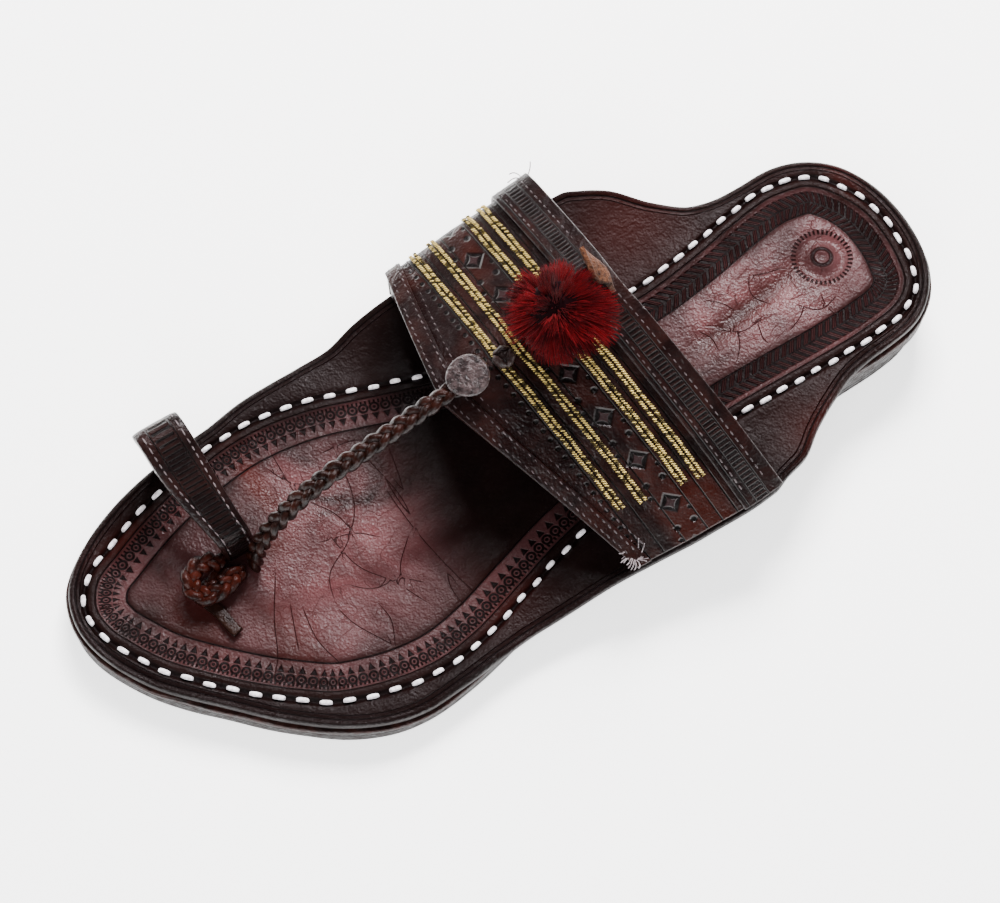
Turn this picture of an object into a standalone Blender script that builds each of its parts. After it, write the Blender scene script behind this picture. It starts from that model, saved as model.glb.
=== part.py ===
"""Left kolhapuri sandal: a flat stitched leather sole with side ears, a stacked heel, a wide
ridged instep band, a braided toe thong with its knot, a big toe loop and a wool pompom.

Metres, +Z up. The toe points to -Y, the big toe side is -X and the little toe side is +X.
The origin is on the floor, under the middle of the sandal.
"""

import math

import bmesh
import bpy
import numpy as np

# Sole
SOLE_LENGTH = 0.2720
BALL_WIDTH = 0.1092
OUTSOLE_THICKNESS = 0.0052
WELT_THICKNESS = 0.0022
WELT_PROUD = 0.0008
INSOLE_THICKNESS = 0.0030
LAYER_GAP = 0.0003
TOE_SPRING = 0.0012
TOE_SPRING_LENGTH = 0.0280
SHANK_START = -0.0380
HEEL_HEIGHT = 0.0112
HEEL_LENGTH = 0.0565
HEEL_INSET_TOP = 0.0010
HEEL_INSET_FLOOR = 0.0026
HEEL_BREAST_HOLLOW = 0.0030

# Ears: the flaps of the insole that carry the band
EAR_FLARE_MEDIAL = 0.0310
EAR_FLARE_LATERAL = 0.0205
EAR_LIFT_MEDIAL = 0.0048
EAR_LIFT_LATERAL = 0.0016
EAR_CURL = 1.5

# Instep band
BAND_THICKNESS = 0.0030
BAND_EDGE_INSET = 0.0006
BAND_RIDGE_X = -0.0105
BAND_RIDGE_FRONT_Y = -0.0190
BAND_RIDGE_REAR_Y = 0.0410
BAND_RIDGE_FRONT_Z = 0.0460
BAND_RIDGE_REAR_Z = 0.0590
BAND_FOOT_LATERAL_FRONT_Y = 0.0075
BAND_FOOT_LATERAL_REAR_Y = 0.0545
BAND_FOOT_MEDIAL_FRONT_Y = -0.0055
BAND_FOOT_MEDIAL_REAR_Y = 0.0408
REAR_STRIP_WIDTH = 0.0127
REAR_STRIP_THICKNESS = 0.0014
FRONT_STRIP_RIDGE_WIDTH = 0.0066
FRONT_STRIP_FOOT_WIDTH = 0.0046
FRONT_STRIP_THICKNESS = 0.0009

# Button, bead, rosette, pompom and rear tab along the ridge
BUTTON_RADIUS = 0.0064
BUTTON_THICKNESS = 0.0017
BUTTON_STEM_RADIUS = 0.0028
BUTTON_LIFT = 0.0050
BUTTON_FROM_FRONT = 0.0102
BEAD_RADIUS = 0.0036
BEAD_SQUASH = 0.62
BEAD_FROM_FRONT = 0.0218
BEAD_LOBES = 7
ROSETTE_RADIUS = 0.0118
ROSETTE_TOOTH = 0.0009
ROSETTE_TEETH = 30
ROSETTE_THICKNESS = 0.0013
ROSETTE_FROM_FRONT = 0.0405
POMPOM_RADIUS = 0.0118
POMPOM_SQUASH = 0.66
POMPOM_LOCK = 0.0036
POMPOM_LOCK_COUNT = 46
POMPOM_LOCK_SPREAD = 0.20
TAB_WIDTH = 0.0110
TAB_THICKNESS = 0.0015
TAB_HEIGHT = 0.0105
TAB_FROM_REAR = 0.0050
TAB_LEAN = 0.0012
TAB_TAPER = 0.35

# Braided thong and its knot at the toe
THONG_HALF_WIDTH = 0.0030
THONG_HALF_HEIGHT = 0.0024
THONG_PLAIT = 0.0060
THONG_RELIEF = 0.17
THONG_HOLE_X = -0.0095
THONG_HOLE_Y = -0.0830
THONG_OVER_BAND = 0.0056
THONG_END_HALF_HEIGHT = 0.0010
KNOT_HALF_WIDTH = 0.0026
KNOT_HALF_HEIGHT = 0.0022
TAIL_WIDTH = 0.0036
TAIL_THICKNESS = 0.0014
TAIL_LENGTH = 0.0128
TAIL_TURN = 0.0030

# Big toe loop
LOOP_WIDTH = 0.0146
LOOP_THONG_WIDTH = 0.0086
LOOP_THICKNESS = 0.0028
LOOP_HEIGHT = 0.0235
LOOP_MEDIAL_X = -0.0490
LOOP_MEDIAL_Y = -0.0845
LOOP_THONG_X = -0.0166
LOOP_THONG_Y = -0.0842

# Closed outline of the sole seen from above: share of the length from the toe tip, share of
# the ball width from the middle line, lateral side positive.
SOLE_OUTLINE = (
    # along, across
    (0.0000, -0.160),
    (0.0080, -0.250),
    (0.0270, -0.318),
    (0.0590, -0.376),
    (0.0960, -0.420),
    (0.1320, -0.450),
    (0.1690, -0.471),
    (0.2060, -0.487),
    (0.2570, -0.499),
    (0.3000, -0.494),
    (0.3530, -0.467),
    (0.3970, -0.428),
    (0.4560, -0.379),
    (0.5370, -0.312),
    (0.6290, -0.264),
    (0.7020, -0.255),
    (0.7570, -0.270),
    (0.8120, -0.293),
    (0.8680, -0.310),
    (0.9120, -0.310),
    (0.9480, -0.278),
    (0.9770, -0.212),
    (0.9950, -0.110),
    (1.0000, 0.010),
    (0.9930, 0.130),
    (0.9730, 0.220),
    (0.9400, 0.282),
    (0.8960, 0.306),
    (0.8310, 0.312),
    (0.7570, 0.316),
    (0.6840, 0.318),
    (0.6290, 0.326),
    (0.5630, 0.350),
    (0.5000, 0.376),
    (0.4340, 0.414),
    (0.3710, 0.457),
    (0.3160, 0.489),
    (0.2650, 0.501),
    (0.2200, 0.480),
    (0.1770, 0.425),
    (0.1320, 0.336),
    (0.0960, 0.242),
    (0.0590, 0.145),
    (0.0300, 0.055),
    (0.0070, -0.060),
)

# The ears: how far they flare past the sole and how high their rims lift, as shares of the
# greatest flare and lift.
EAR_PLAN = (
    # along, medial flare, lateral flare, rim lift
    (0.0000, 0.000, 0.000, 0.00),
    (0.2300, 0.000, 0.000, 0.00),
    (0.2800, 0.060, 0.000, 0.00),
    (0.3400, 0.160, 0.050, 0.02),
    (0.3900, 0.310, 0.150, 0.12),
    (0.4300, 0.500, 0.290, 0.40),
    (0.4700, 0.645, 0.430, 0.74),
    (0.5000, 0.740, 0.530, 0.90),
    (0.5500, 0.860, 0.700, 1.00),
    (0.6100, 0.950, 0.890, 1.00),
    (0.6700, 1.000, 0.990, 0.96),
    (0.6950, 0.995, 0.975, 0.86),
    (0.7160, 0.915, 0.880, 0.72),
    (0.7420, 0.755, 0.790, 0.52),
    (0.7760, 0.395, 0.490, 0.22),
    (0.8120, 0.120, 0.240, 0.06),
    (0.8500, 0.020, 0.050, 0.00),
    (0.8800, 0.000, 0.000, 0.00),
    (1.0000, 0.000, 0.000, 0.00),
)

# The arch of the band from its ridge to each foot: share of the way out, share of the rise
# at the front and at the rear edge, and share of the sweep towards the heel. The lateral side
# runs down nearly straight, the medial side keeps its height up to a shoulder.
ARCH_LATERAL = (
    # reach, out, front rise, rear rise, sweep
    (0.00, 0.000, 1.000, 1.000, 0.00),
    (0.15, 0.160, 0.945, 0.945, 0.12),
    (0.35, 0.380, 0.765, 0.765, 0.33),
    (0.60, 0.640, 0.490, 0.500, 0.60),
    (0.80, 0.840, 0.245, 0.255, 0.81),
    (1.00, 1.000, 0.000, 0.000, 1.00),
)
ARCH_MEDIAL = (
    # reach, out, front rise, rear rise, sweep
    (0.00, 0.000, 1.000, 1.000, 0.00),
    (0.15, 0.170, 0.975, 0.985, 0.11),
    (0.35, 0.430, 0.880, 0.925, 0.32),
    (0.56, 0.760, 0.730, 0.835, 0.62),
    (0.66, 0.930, 0.635, 0.775, 0.80),
    (0.71, 0.985, 0.575, 0.725, 0.87),
    (0.77, 1.000, 0.470, 0.610, 0.92),
    (0.90, 1.000, 0.200, 0.265, 0.97),
    (1.00, 1.000, 0.000, 0.000, 1.00),
)

# The ridge of the band from its front to its rear edge: share of the way back and of the rise.
RIDGE_LINE = (
    # across, back, rise
    (0.00, 0.000, 0.00),
    (0.30, 0.300, 0.32),
    (0.65, 0.650, 0.70),
    (1.00, 1.000, 1.00),
)

# The big toe loop from its rim end to its thong end: share of the way across, share of the
# height, and how far it leans towards the toe.
LOOP_ARCH = (
    # reach, across, rise, lean
    (0.00, 0.000, 0.000, 0.0000),
    (0.12, -0.030, 0.330, 0.0016),
    (0.24, -0.060, 0.720, 0.0038),
    (0.31, -0.045, 0.930, 0.0050),
    (0.37, 0.050, 1.000, 0.0053),
    (0.50, 0.300, 0.880, 0.0050),
    (0.65, 0.620, 0.690, 0.0040),
    (0.78, 0.890, 0.510, 0.0026),
    (0.86, 0.990, 0.360, 0.0014),
    (1.00, 1.000, 0.000, 0.0000),
)

# The thong from its hole to the band: share of the way back, share of the rise.
THONG_LINE = (
    # back, rise
    (0.000, 0.00),
    (0.012, 0.16),
    (0.050, 0.32),
    (0.130, 0.49),
    (0.250, 0.65),
    (0.400, 0.77),
    (0.560, 0.83),
    (0.760, 0.90),
    (1.000, 1.00),
)

# The toe knot, a small hitch in front of the thong: place from the hole and height of its
# middle line over the insole.
KNOT_LINE = (
    # x, y, height
    (-0.0040, -0.0082, 0.0027),
    (-0.0051, -0.0115, 0.0056),
    (-0.0054, -0.0155, 0.0067),
    (-0.0033, -0.0191, 0.0062),
    (0.0008, -0.0198, 0.0053),
    (0.0037, -0.0173, 0.0048),
    (0.0038, -0.0133, 0.0046),
    (0.0026, -0.0090, 0.0040),
    (0.0008, -0.0054, 0.0028),
)
TAIL_START = (0.0036, -0.0178)

# Mesh densities
STATIONS = 56
INSOLE_COLUMNS = 14
LAYER_COLUMNS = 4
BAND_STEPS = 44
BAND_ROWS = 9
STRIP_ROWS = 3
LOOP_STEPS = 34
LOOP_ROWS = 3
THONG_RINGS = 84
THONG_SIDES = 14
KNOT_RINGS = 40
KNOT_SIDES = 10


def smooth_table(rows, at):
    """Monotone cubic reading of a table: the first column is the place, the rest are read."""
    table = np.asarray(rows, float)
    x, y = table[:, 0], table[:, 1:]
    step = np.diff(x)[:, None]
    slope = np.diff(y, axis=0) / step
    inner = np.where(
        slope[:-1] * slope[1:] > 0,
        2 * slope[:-1] * slope[1:] / np.where(slope[:-1] + slope[1:] == 0, 1, slope[:-1] + slope[1:]),
        0.0,
    )
    tangent = np.vstack([slope[:1], inner, slope[-1:]])
    at = np.clip(np.atleast_1d(np.asarray(at, float)), x[0], x[-1])
    i = np.clip(np.searchsorted(x, at, side="right") - 1, 0, len(x) - 2)
    h = (x[i + 1] - x[i])[:, None]
    t = ((at - x[i]) / (x[i + 1] - x[i]))[:, None]
    return (
        (2 * t**3 - 3 * t**2 + 1) * y[i]
        + (t**3 - 2 * t**2 + t) * h * tangent[i]
        + (3 * t**2 - 2 * t**3) * y[i + 1]
        + (t**3 - t**2) * h * tangent[i + 1]
    )


def smooth_path(points, count):
    """Evenly spaced points on a curve through the given ones (centripetal Catmull-Rom)."""
    p = np.asarray(points, float)
    p = np.vstack([2 * p[0] - p[1], p, 2 * p[-1] - p[-2]])
    fine = []
    for a, b, c, d in zip(p[:-3], p[1:-2], p[2:-1], p[3:]):
        t = np.linspace(0, 1, 24, endpoint=False)[:, None]
        fine.append(
            0.5 * (2 * b + (c - a) * t + (2 * a - 5 * b + 4 * c - d) * t**2
                   + (3 * b - a - 3 * c + d) * t**3)
        )
    fine = np.vstack(fine + [p[-2:-1]])
    walked = np.concatenate([[0], np.cumsum(np.linalg.norm(np.diff(fine, axis=0), axis=1))])
    even = np.linspace(0, walked[-1], count)
    return np.column_stack([np.interp(even, walked, fine[:, k]) for k in range(3)])


def closed_outline():
    """The sole's outline as a dense closed curve through its table (Catmull-Rom)."""
    table = np.array(SOLE_OUTLINE)
    p = np.column_stack([table[:, 1] * BALL_WIDTH, (table[:, 0] - 0.5) * SOLE_LENGTH])
    a, c, d = np.roll(p, 1, 0), np.roll(p, -1, 0), np.roll(p, -2, 0)
    t = np.linspace(0, 1, 12, endpoint=False)[None, :, None]
    a, b, c, d = (q[:, None, :] for q in (a, p, c, d))
    curve = 0.5 * (2 * b + (c - a) * t + (2 * a - 5 * b + 4 * c - d) * t**2
                   + (3 * b - a - 3 * c + d) * t**3)
    return curve.reshape(-1, 2)


def inset_outline(outline, inset):
    """The outline moved inwards by inset along its normal."""
    run = np.roll(outline, -1, 0) - np.roll(outline, 1, 0)
    normal = np.column_stack([run[:, 1], -run[:, 0]])
    normal /= np.linalg.norm(normal, axis=1)[:, None]
    middle = outline.mean(0)
    if ((outline - middle) * normal).sum() > 0:
        normal = -normal
    return outline + normal * inset


def side_readers(outline):
    """Functions that give the medial and the lateral edge of an outline at a place along it."""
    toe, heel = outline[:, 1].argmin(), outline[:, 1].argmax()
    ring = np.roll(outline, -toe, 0)
    turn = (heel - toe) % len(outline)
    medial, lateral = ring[: turn + 1], np.vstack([ring[turn:], ring[:1]])[::-1]
    ends = ring[0, 1], ring[turn, 1]
    return (
        lambda y: np.interp(y, medial[:, 1], medial[:, 0]),
        lambda y: np.interp(y, lateral[:, 1], lateral[:, 0]),
        ends,
    )


def heel_front_y():
    """The heel block's front face, measured from the back of the sole."""
    return SOLE_LENGTH / 2 - HEEL_LENGTH


def floor_line(y):
    """Height of the outsole's underside: flat at the ball, up over the shank, flat on the heel."""
    seat = HEEL_HEIGHT + LAYER_GAP
    t = np.clip((y - SHANK_START) / (heel_front_y() - SHANK_START), 0, 1)
    toe_start = -SOLE_LENGTH / 2 + TOE_SPRING_LENGTH
    spring = np.clip((toe_start - y) / TOE_SPRING_LENGTH, 0, 1)
    return seat * t * t * (3 - 2 * t) + TOE_SPRING * spring**2


def ear_reading(y):
    """Medial flare, lateral flare and share of the rim lift of the ears along the sole."""
    read = smooth_table(EAR_PLAN, np.ravel(y) / SOLE_LENGTH + 0.5)
    flare_m, flare_l, lift = read.T
    shape = np.shape(y)
    return (
        (flare_m * EAR_FLARE_MEDIAL).reshape(shape),
        (flare_l * EAR_FLARE_LATERAL).reshape(shape),
        lift.reshape(shape),
    )


BODY_MEDIAL, BODY_LATERAL, BODY_ENDS = side_readers(closed_outline())


def insole_edges(y):
    """The insole's medial and lateral edges, ears and all."""
    flare_m, flare_l, _ = ear_reading(y)
    return BODY_MEDIAL(y) - flare_m, BODY_LATERAL(y) + flare_l


def insole_base():
    """Height of the insole's underside over the outsole's underside."""
    return OUTSOLE_THICKNESS + WELT_THICKNESS + 2 * LAYER_GAP


def ear_curl(x, y):
    """How far the insole lifts off the flat: it curls up past the sole's edge."""
    x, y = np.asarray(x, float), np.asarray(y, float)
    flare_m, flare_l, lift = ear_reading(y)
    past_m = np.clip((BODY_MEDIAL(y) - x) / np.maximum(flare_m, 1e-5), 0, 1)
    past_l = np.clip((x - BODY_LATERAL(y)) / np.maximum(flare_l, 1e-5), 0, 1)
    rise_m = EAR_LIFT_MEDIAL * past_m**EAR_CURL
    rise_l = EAR_LIFT_LATERAL * past_l**EAR_CURL
    return lift * (rise_m + rise_l)


def insole_top(x, y):
    """Height of the insole's top surface."""
    return floor_line(np.asarray(y, float)) + insole_base() + INSOLE_THICKNESS + ear_curl(x, y)


def new_material(name, colour, roughness, metallic=0.0):
    """A Principled BSDF with the piece's plain colour."""
    made = bpy.data.materials.new(name)
    made.use_nodes = True
    shader = made.node_tree.nodes["Principled BSDF"]
    shader.inputs["Base Color"].default_value = (*colour, 1.0)
    shader.inputs["Roughness"].default_value = roughness
    shader.inputs["Metallic"].default_value = metallic
    return made


def add_mesh(name, points, faces, material):
    """A mesh object from points and faces, its faces turned outwards and shaded smooth."""
    data = bpy.data.meshes.new(name)
    data.from_pydata([tuple(p) for p in points], [], faces)
    work = bmesh.new()
    work.from_mesh(data)
    bmesh.ops.recalc_face_normals(work, faces=work.faces)
    work.to_mesh(data)
    work.free()
    return add_data(name, data, material)


def add_data(name, data, material):
    """Links a finished mesh to the sandal's collection under its plain name."""
    data.materials.clear()
    data.materials.append(material)
    data.shade_smooth()
    data.set_sharp_from_angle(angle=math.radians(40))
    made = bpy.data.objects.new(name, data)
    COLLECTION.objects.link(made)
    return made


def closed_sheet(name, under, over, material):
    """A solid between two point grids of one shape, walled along their four borders."""
    rows, columns = under.shape[:2]
    points = np.vstack([under.reshape(-1, 3), over.reshape(-1, 3)])
    shift = rows * columns

    def at(i, j, side):
        return side * shift + i * columns + j

    faces = []
    for i in range(rows - 1):
        for j in range(columns - 1):
            for side in (0, 1):
                faces.append((at(i, j, side), at(i + 1, j, side),
                              at(i + 1, j + 1, side), at(i, j + 1, side)))
    for i in range(rows - 1):
        for j in (0, columns - 1):
            faces.append((at(i, j, 0), at(i + 1, j, 0), at(i + 1, j, 1), at(i, j, 1)))
    for j in range(columns - 1):
        for i in (0, rows - 1):
            faces.append((at(i, j, 0), at(i, j + 1, 0), at(i, j + 1, 1), at(i, j, 1)))
    return add_mesh(name, points, faces, material)


def closed_tube(name, rings, material):
    """A solid from a run of closed rings of one size, with a fan at each end."""
    count, sides = rings.shape[:2]
    points = np.vstack([rings.reshape(-1, 3), rings[0].mean(0), rings[-1].mean(0)])
    faces = []
    for i in range(count - 1):
        for j in range(sides):
            k = (j + 1) % sides
            faces.append((i * sides + j, i * sides + k, (i + 1) * sides + k, (i + 1) * sides + j))
    first, last = count * sides, count * sides + 1
    for j in range(sides):
        k = (j + 1) % sides
        faces.append((j, k, first))
        faces.append(((count - 1) * sides + k, (count - 1) * sides + j, last))
    return add_mesh(name, points, faces, material)


def stations(ends, count):
    """Places along the sole, close together at both round ends."""
    half, middle = (ends[1] - ends[0]) / 2, (ends[1] + ends[0]) / 2
    turn = np.linspace(0.035, math.pi - 0.035, count)
    return middle - half * np.cos(turn)


def slab(name, y, medial, lateral, low, high, columns, material):
    """A sole layer: a sheet between two heights, cut to its medial and lateral edges."""
    share = np.linspace(0, 1, columns)
    x = medial[:, None] + (lateral - medial)[:, None] * share[None, :]
    yy = np.repeat(y[:, None], columns, axis=1)
    under = np.stack([x, yy, low(x, yy)], axis=-1)
    over = np.stack([x, yy, high(x, yy)], axis=-1)
    return closed_sheet(name, under, over, material)


def make_outsole(material):
    """The thick bottom leather, arched from the ball to the heel seat."""
    y = stations(BODY_ENDS, STATIONS)
    return slab("outsole", y, BODY_MEDIAL(y), BODY_LATERAL(y),
                lambda x, yy: floor_line(yy),
                lambda x, yy: floor_line(yy) + OUTSOLE_THICKNESS,
                LAYER_COLUMNS, material)


def make_welt(material):
    """The thin middle leather, a little proud of the sole all round."""
    medial, lateral, ends = side_readers(inset_outline(closed_outline(), -WELT_PROUD))
    y = stations(ends, STATIONS)
    low = OUTSOLE_THICKNESS + LAYER_GAP
    return slab("welt", y, medial(y), lateral(y),
                lambda x, yy: floor_line(yy) + low,
                lambda x, yy: floor_line(yy) + low + WELT_THICKNESS,
                LAYER_COLUMNS, material)


def make_insole(material):
    """The footbed leather with its two side ears curled up."""
    y = stations(BODY_ENDS, STATIONS)
    medial, lateral = insole_edges(y)
    return slab("insole", y, medial, lateral,
                lambda x, yy: insole_top(x, yy) - INSOLE_THICKNESS,
                insole_top, INSOLE_COLUMNS, material)


def make_heel(material):
    """The heel block, drawn in towards the floor, its front face hollow."""
    def ring(inset):
        outline = inset_outline(closed_outline(), inset)
        medial, lateral, ends = side_readers(outline)
        back = ends[1] - 1e-6
        share = (1 - np.cos(np.linspace(0, math.pi / 2, 18))) / 1.0
        y = back - (back - heel_front_y()) * share
        across = np.linspace(0, 1, 7)
        x = medial(y)[:, None] + (lateral(y) - medial(y))[:, None] * across[None, :]
        hollow = HEEL_BREAST_HOLLOW * (1 - (2 * across - 1) ** 2)[None, :]
        yy = y[:, None] + hollow * (share[:, None] ** 2)
        return x, yy

    x_floor, y_floor = ring(HEEL_INSET_FLOOR)
    x_top, y_top = ring(HEEL_INSET_TOP)
    under = np.stack([x_floor, y_floor, np.zeros_like(x_floor)], axis=-1)
    over = np.stack([x_top, y_top, np.full_like(x_top, HEEL_HEIGHT)], axis=-1)
    return closed_sheet("heel", under, over, material)


def band_feet(across):
    """Lateral and medial foot points of the band, on the ears, for shares across the band."""
    y_l = BAND_FOOT_LATERAL_FRONT_Y + (BAND_FOOT_LATERAL_REAR_Y - BAND_FOOT_LATERAL_FRONT_Y) * across
    y_m = BAND_FOOT_MEDIAL_FRONT_Y + (BAND_FOOT_MEDIAL_REAR_Y - BAND_FOOT_MEDIAL_FRONT_Y) * across
    rim_m, rim_l = insole_edges(y_m)[0], insole_edges(y_l)[1]
    x_l = rim_l - BAND_EDGE_INSET - BAND_THICKNESS / 2
    outer_m = rim_m + BAND_EDGE_INSET
    lateral = np.stack([x_l, y_l, insole_top(x_l, y_l) + LAYER_GAP], -1)
    medial = np.stack([outer_m + BAND_THICKNESS, y_m, insole_top(outer_m, y_m) + LAYER_GAP], -1)
    return lateral, medial


def band_inner(reach, across):
    """The band's inner face. reach runs from -1, the medial foot, over 0, the ridge, to 1, the
    lateral foot. across runs from 0, the front edge, to 1, the rear edge."""
    reach, across = np.broadcast_arrays(np.asarray(reach, float), np.asarray(across, float))
    shape = reach.shape
    reach, across = reach.ravel(), across.ravel()
    back, rise = smooth_table(RIDGE_LINE, across).T
    ridge = np.stack([
        np.full_like(reach, BAND_RIDGE_X),
        BAND_RIDGE_FRONT_Y + (BAND_RIDGE_REAR_Y - BAND_RIDGE_FRONT_Y) * back,
        BAND_RIDGE_FRONT_Z + (BAND_RIDGE_REAR_Z - BAND_RIDGE_FRONT_Z) * rise - BAND_THICKNESS,
    ], -1)
    lateral, medial = band_feet(across)
    side = (reach > 0)[:, None]
    foot = np.where(side, lateral, medial)
    shares = np.where(side, smooth_table(ARCH_LATERAL, abs(reach)),
                      smooth_table(ARCH_MEDIAL, abs(reach)))
    out, front_up, rear_up, sweep = shares.T
    up = front_up + (rear_up - front_up) * across
    point = np.stack([
        ridge[:, 0] + (foot[:, 0] - ridge[:, 0]) * out,
        ridge[:, 1] + (foot[:, 1] - ridge[:, 1]) * sweep,
        foot[:, 2] + (ridge[:, 2] - foot[:, 2]) * up,
    ], -1)
    return point.reshape(*shape, 3)


def band_surface(reach, across, lift):
    """A point on or over the band: its inner face moved outwards by lift."""
    step = 0.004
    reach, across = np.broadcast_arrays(np.asarray(reach, float), np.asarray(across, float))
    ahead = band_inner(np.clip(reach + step, -1, 1), across)
    behind = band_inner(np.clip(reach - step, -1, 1), across)
    rear = band_inner(reach, np.clip(across + step, 0, 1))
    front = band_inner(reach, np.clip(across - step, 0, 1))
    normal = np.cross(ahead - behind, rear - front)
    normal /= np.linalg.norm(normal, axis=-1)[..., None]
    return band_inner(reach, across) + normal * np.asarray(lift, float)[..., None]


def band_width(reach):
    """Width of the band from its front to its rear edge, at a reach."""
    rows = np.linspace(0, 1, 9)
    line = band_inner(np.asarray(reach, float)[..., None], rows)
    return np.linalg.norm(np.diff(line, axis=-2), axis=-1).sum(-1)


def band_steps():
    """Places from the medial to the lateral foot, the ridge among them."""
    half = np.linspace(0, 1, BAND_STEPS // 2 + 1)
    return np.concatenate([-half[::-1], half[1:]])


def band_layer(name, first, last, low, high, rows, material):
    """A leather layer of the band between two lines across it and two lifts off its inner face."""
    reach = band_steps()
    start, end = first(reach), last(reach)
    share = np.linspace(0, 1, rows)
    across = start[:, None] + (end - start)[:, None] * share[None, :]
    place = np.repeat(reach[:, None], rows, axis=1)
    flat = np.ones_like(across)
    return closed_sheet(name, band_surface(place, across, flat * low),
                        band_surface(place, across, flat * high), material)


def make_band(material):
    """The instep band's base leather."""
    return band_layer("instep_band", lambda r: 0 * r, lambda r: 0 * r + 1,
                      0.0, BAND_THICKNESS, BAND_ROWS, material)


def make_rear_strip(material):
    """The raised strip sewn along the band's rear edge."""
    low = BAND_THICKNESS + LAYER_GAP
    return band_layer("rear_strip", lambda r: 1 - REAR_STRIP_WIDTH / band_width(r),
                      lambda r: 0 * r + 1, low, low + REAR_STRIP_THICKNESS, STRIP_ROWS, material)


def front_strip_end(reach):
    """Where the front strip ends across the band: it narrows from the ridge to the feet."""
    width = FRONT_STRIP_RIDGE_WIDTH + (FRONT_STRIP_FOOT_WIDTH - FRONT_STRIP_RIDGE_WIDTH) * abs(reach)
    return width / band_width(reach)


def make_front_strip(material):
    """The thin strip sewn along the band's front edge."""
    low = BAND_THICKNESS + LAYER_GAP
    return band_layer("front_strip", lambda r: 0 * r, front_strip_end,
                      low, low + FRONT_STRIP_THICKNESS, STRIP_ROWS, material)


def ridge_frame(from_front, lift):
    """A place over the ridge, so far behind the front edge, with its axes: sideways, back, up."""
    across = np.array(from_front / band_width(np.array(0.0)))
    reach = np.array(0.0)
    place = band_surface(reach, across, np.array(lift))
    back = band_inner(reach, across + 0.01) - band_inner(reach, across - 0.01)
    back /= np.linalg.norm(back)
    side = np.array([1.0, 0.0, 0.0])
    up = np.cross(side, back)
    return place, side, back, up / np.linalg.norm(up)


def seat_on_ridge(mesh_object, from_front, lift):
    """Moves a piece made about its own origin to its seat over the ridge."""
    place, side, back, up = ridge_frame(from_front, lift)
    points = np.zeros(len(mesh_object.data.vertices) * 3)
    mesh_object.data.vertices.foreach_get("co", points)
    points = points.reshape(-1, 3) @ np.stack([side, back, up]) + place
    mesh_object.data.vertices.foreach_set("co", points.ravel())
    mesh_object.data.update()


def turned(name, profile, steps, material):
    """A turned piece: a closed radius and height profile spun round Z with a Screw modifier."""
    data = bpy.data.meshes.new(name)
    data.from_pydata([(r, 0.0, z) for r, z in profile], [(i, i + 1) for i in range(len(profile) - 1)], [])
    made = bpy.data.objects.new(name, data)
    COLLECTION.objects.link(made)
    screw = made.modifiers.new("turn", "SCREW")
    screw.steps = screw.render_steps = steps
    screw.use_merge_vertices = True
    screw.merge_threshold = 0.00001
    bpy.context.view_layer.update()
    solid = bpy.data.meshes.new_from_object(made.evaluated_get(bpy.context.evaluated_depsgraph_get()))
    bpy.data.objects.remove(made)
    work = bmesh.new()
    work.from_mesh(solid)
    bmesh.ops.remove_doubles(work, verts=work.verts, dist=0.000005)
    bmesh.ops.recalc_face_normals(work, faces=work.faces)
    work.to_mesh(solid)
    work.free()
    return add_data(name, solid, material)


def make_button(material):
    """The round leather button on its stem, over the end of the thong."""
    low, high = BUTTON_LIFT - LAYER_GAP, BUTTON_LIFT - LAYER_GAP + BUTTON_THICKNESS
    edge = BUTTON_THICKNESS * 0.30
    profile = (
        (0.0, high),
        (BUTTON_RADIUS - edge, high),
        (BUTTON_RADIUS, high - edge),
        (BUTTON_RADIUS, low + edge),
        (BUTTON_RADIUS - edge, low),
        (BUTTON_STEM_RADIUS, low),
        (BUTTON_STEM_RADIUS, 0.0),
        (0.0, 0.0),
    )
    made = turned("button", profile, 28, material)
    seat_on_ridge(made, BUTTON_FROM_FRONT, BAND_THICKNESS + LAYER_GAP)


def make_bead(material):
    """The small plaited bead behind the button: a flattened ball with lobes."""
    work = bmesh.new()
    bmesh.ops.create_uvsphere(work, u_segments=21, v_segments=10, radius=BEAD_RADIUS)
    for vert in work.verts:
        turn = math.atan2(vert.co.y, vert.co.x)
        tilt = math.acos(max(-1.0, min(1.0, vert.co.z / BEAD_RADIUS)))
        lobe = 1 + 0.07 * math.cos(BEAD_LOBES * turn + 3 * tilt) * math.sin(tilt)
        vert.co.x *= lobe
        vert.co.y *= lobe
        vert.co.z *= BEAD_SQUASH
    data = bpy.data.meshes.new("bead")
    work.to_mesh(data)
    work.free()
    made = add_data("bead", data, material)
    seat_on_ridge(made, BEAD_FROM_FRONT, BAND_THICKNESS + LAYER_GAP + BEAD_RADIUS * BEAD_SQUASH)


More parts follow.
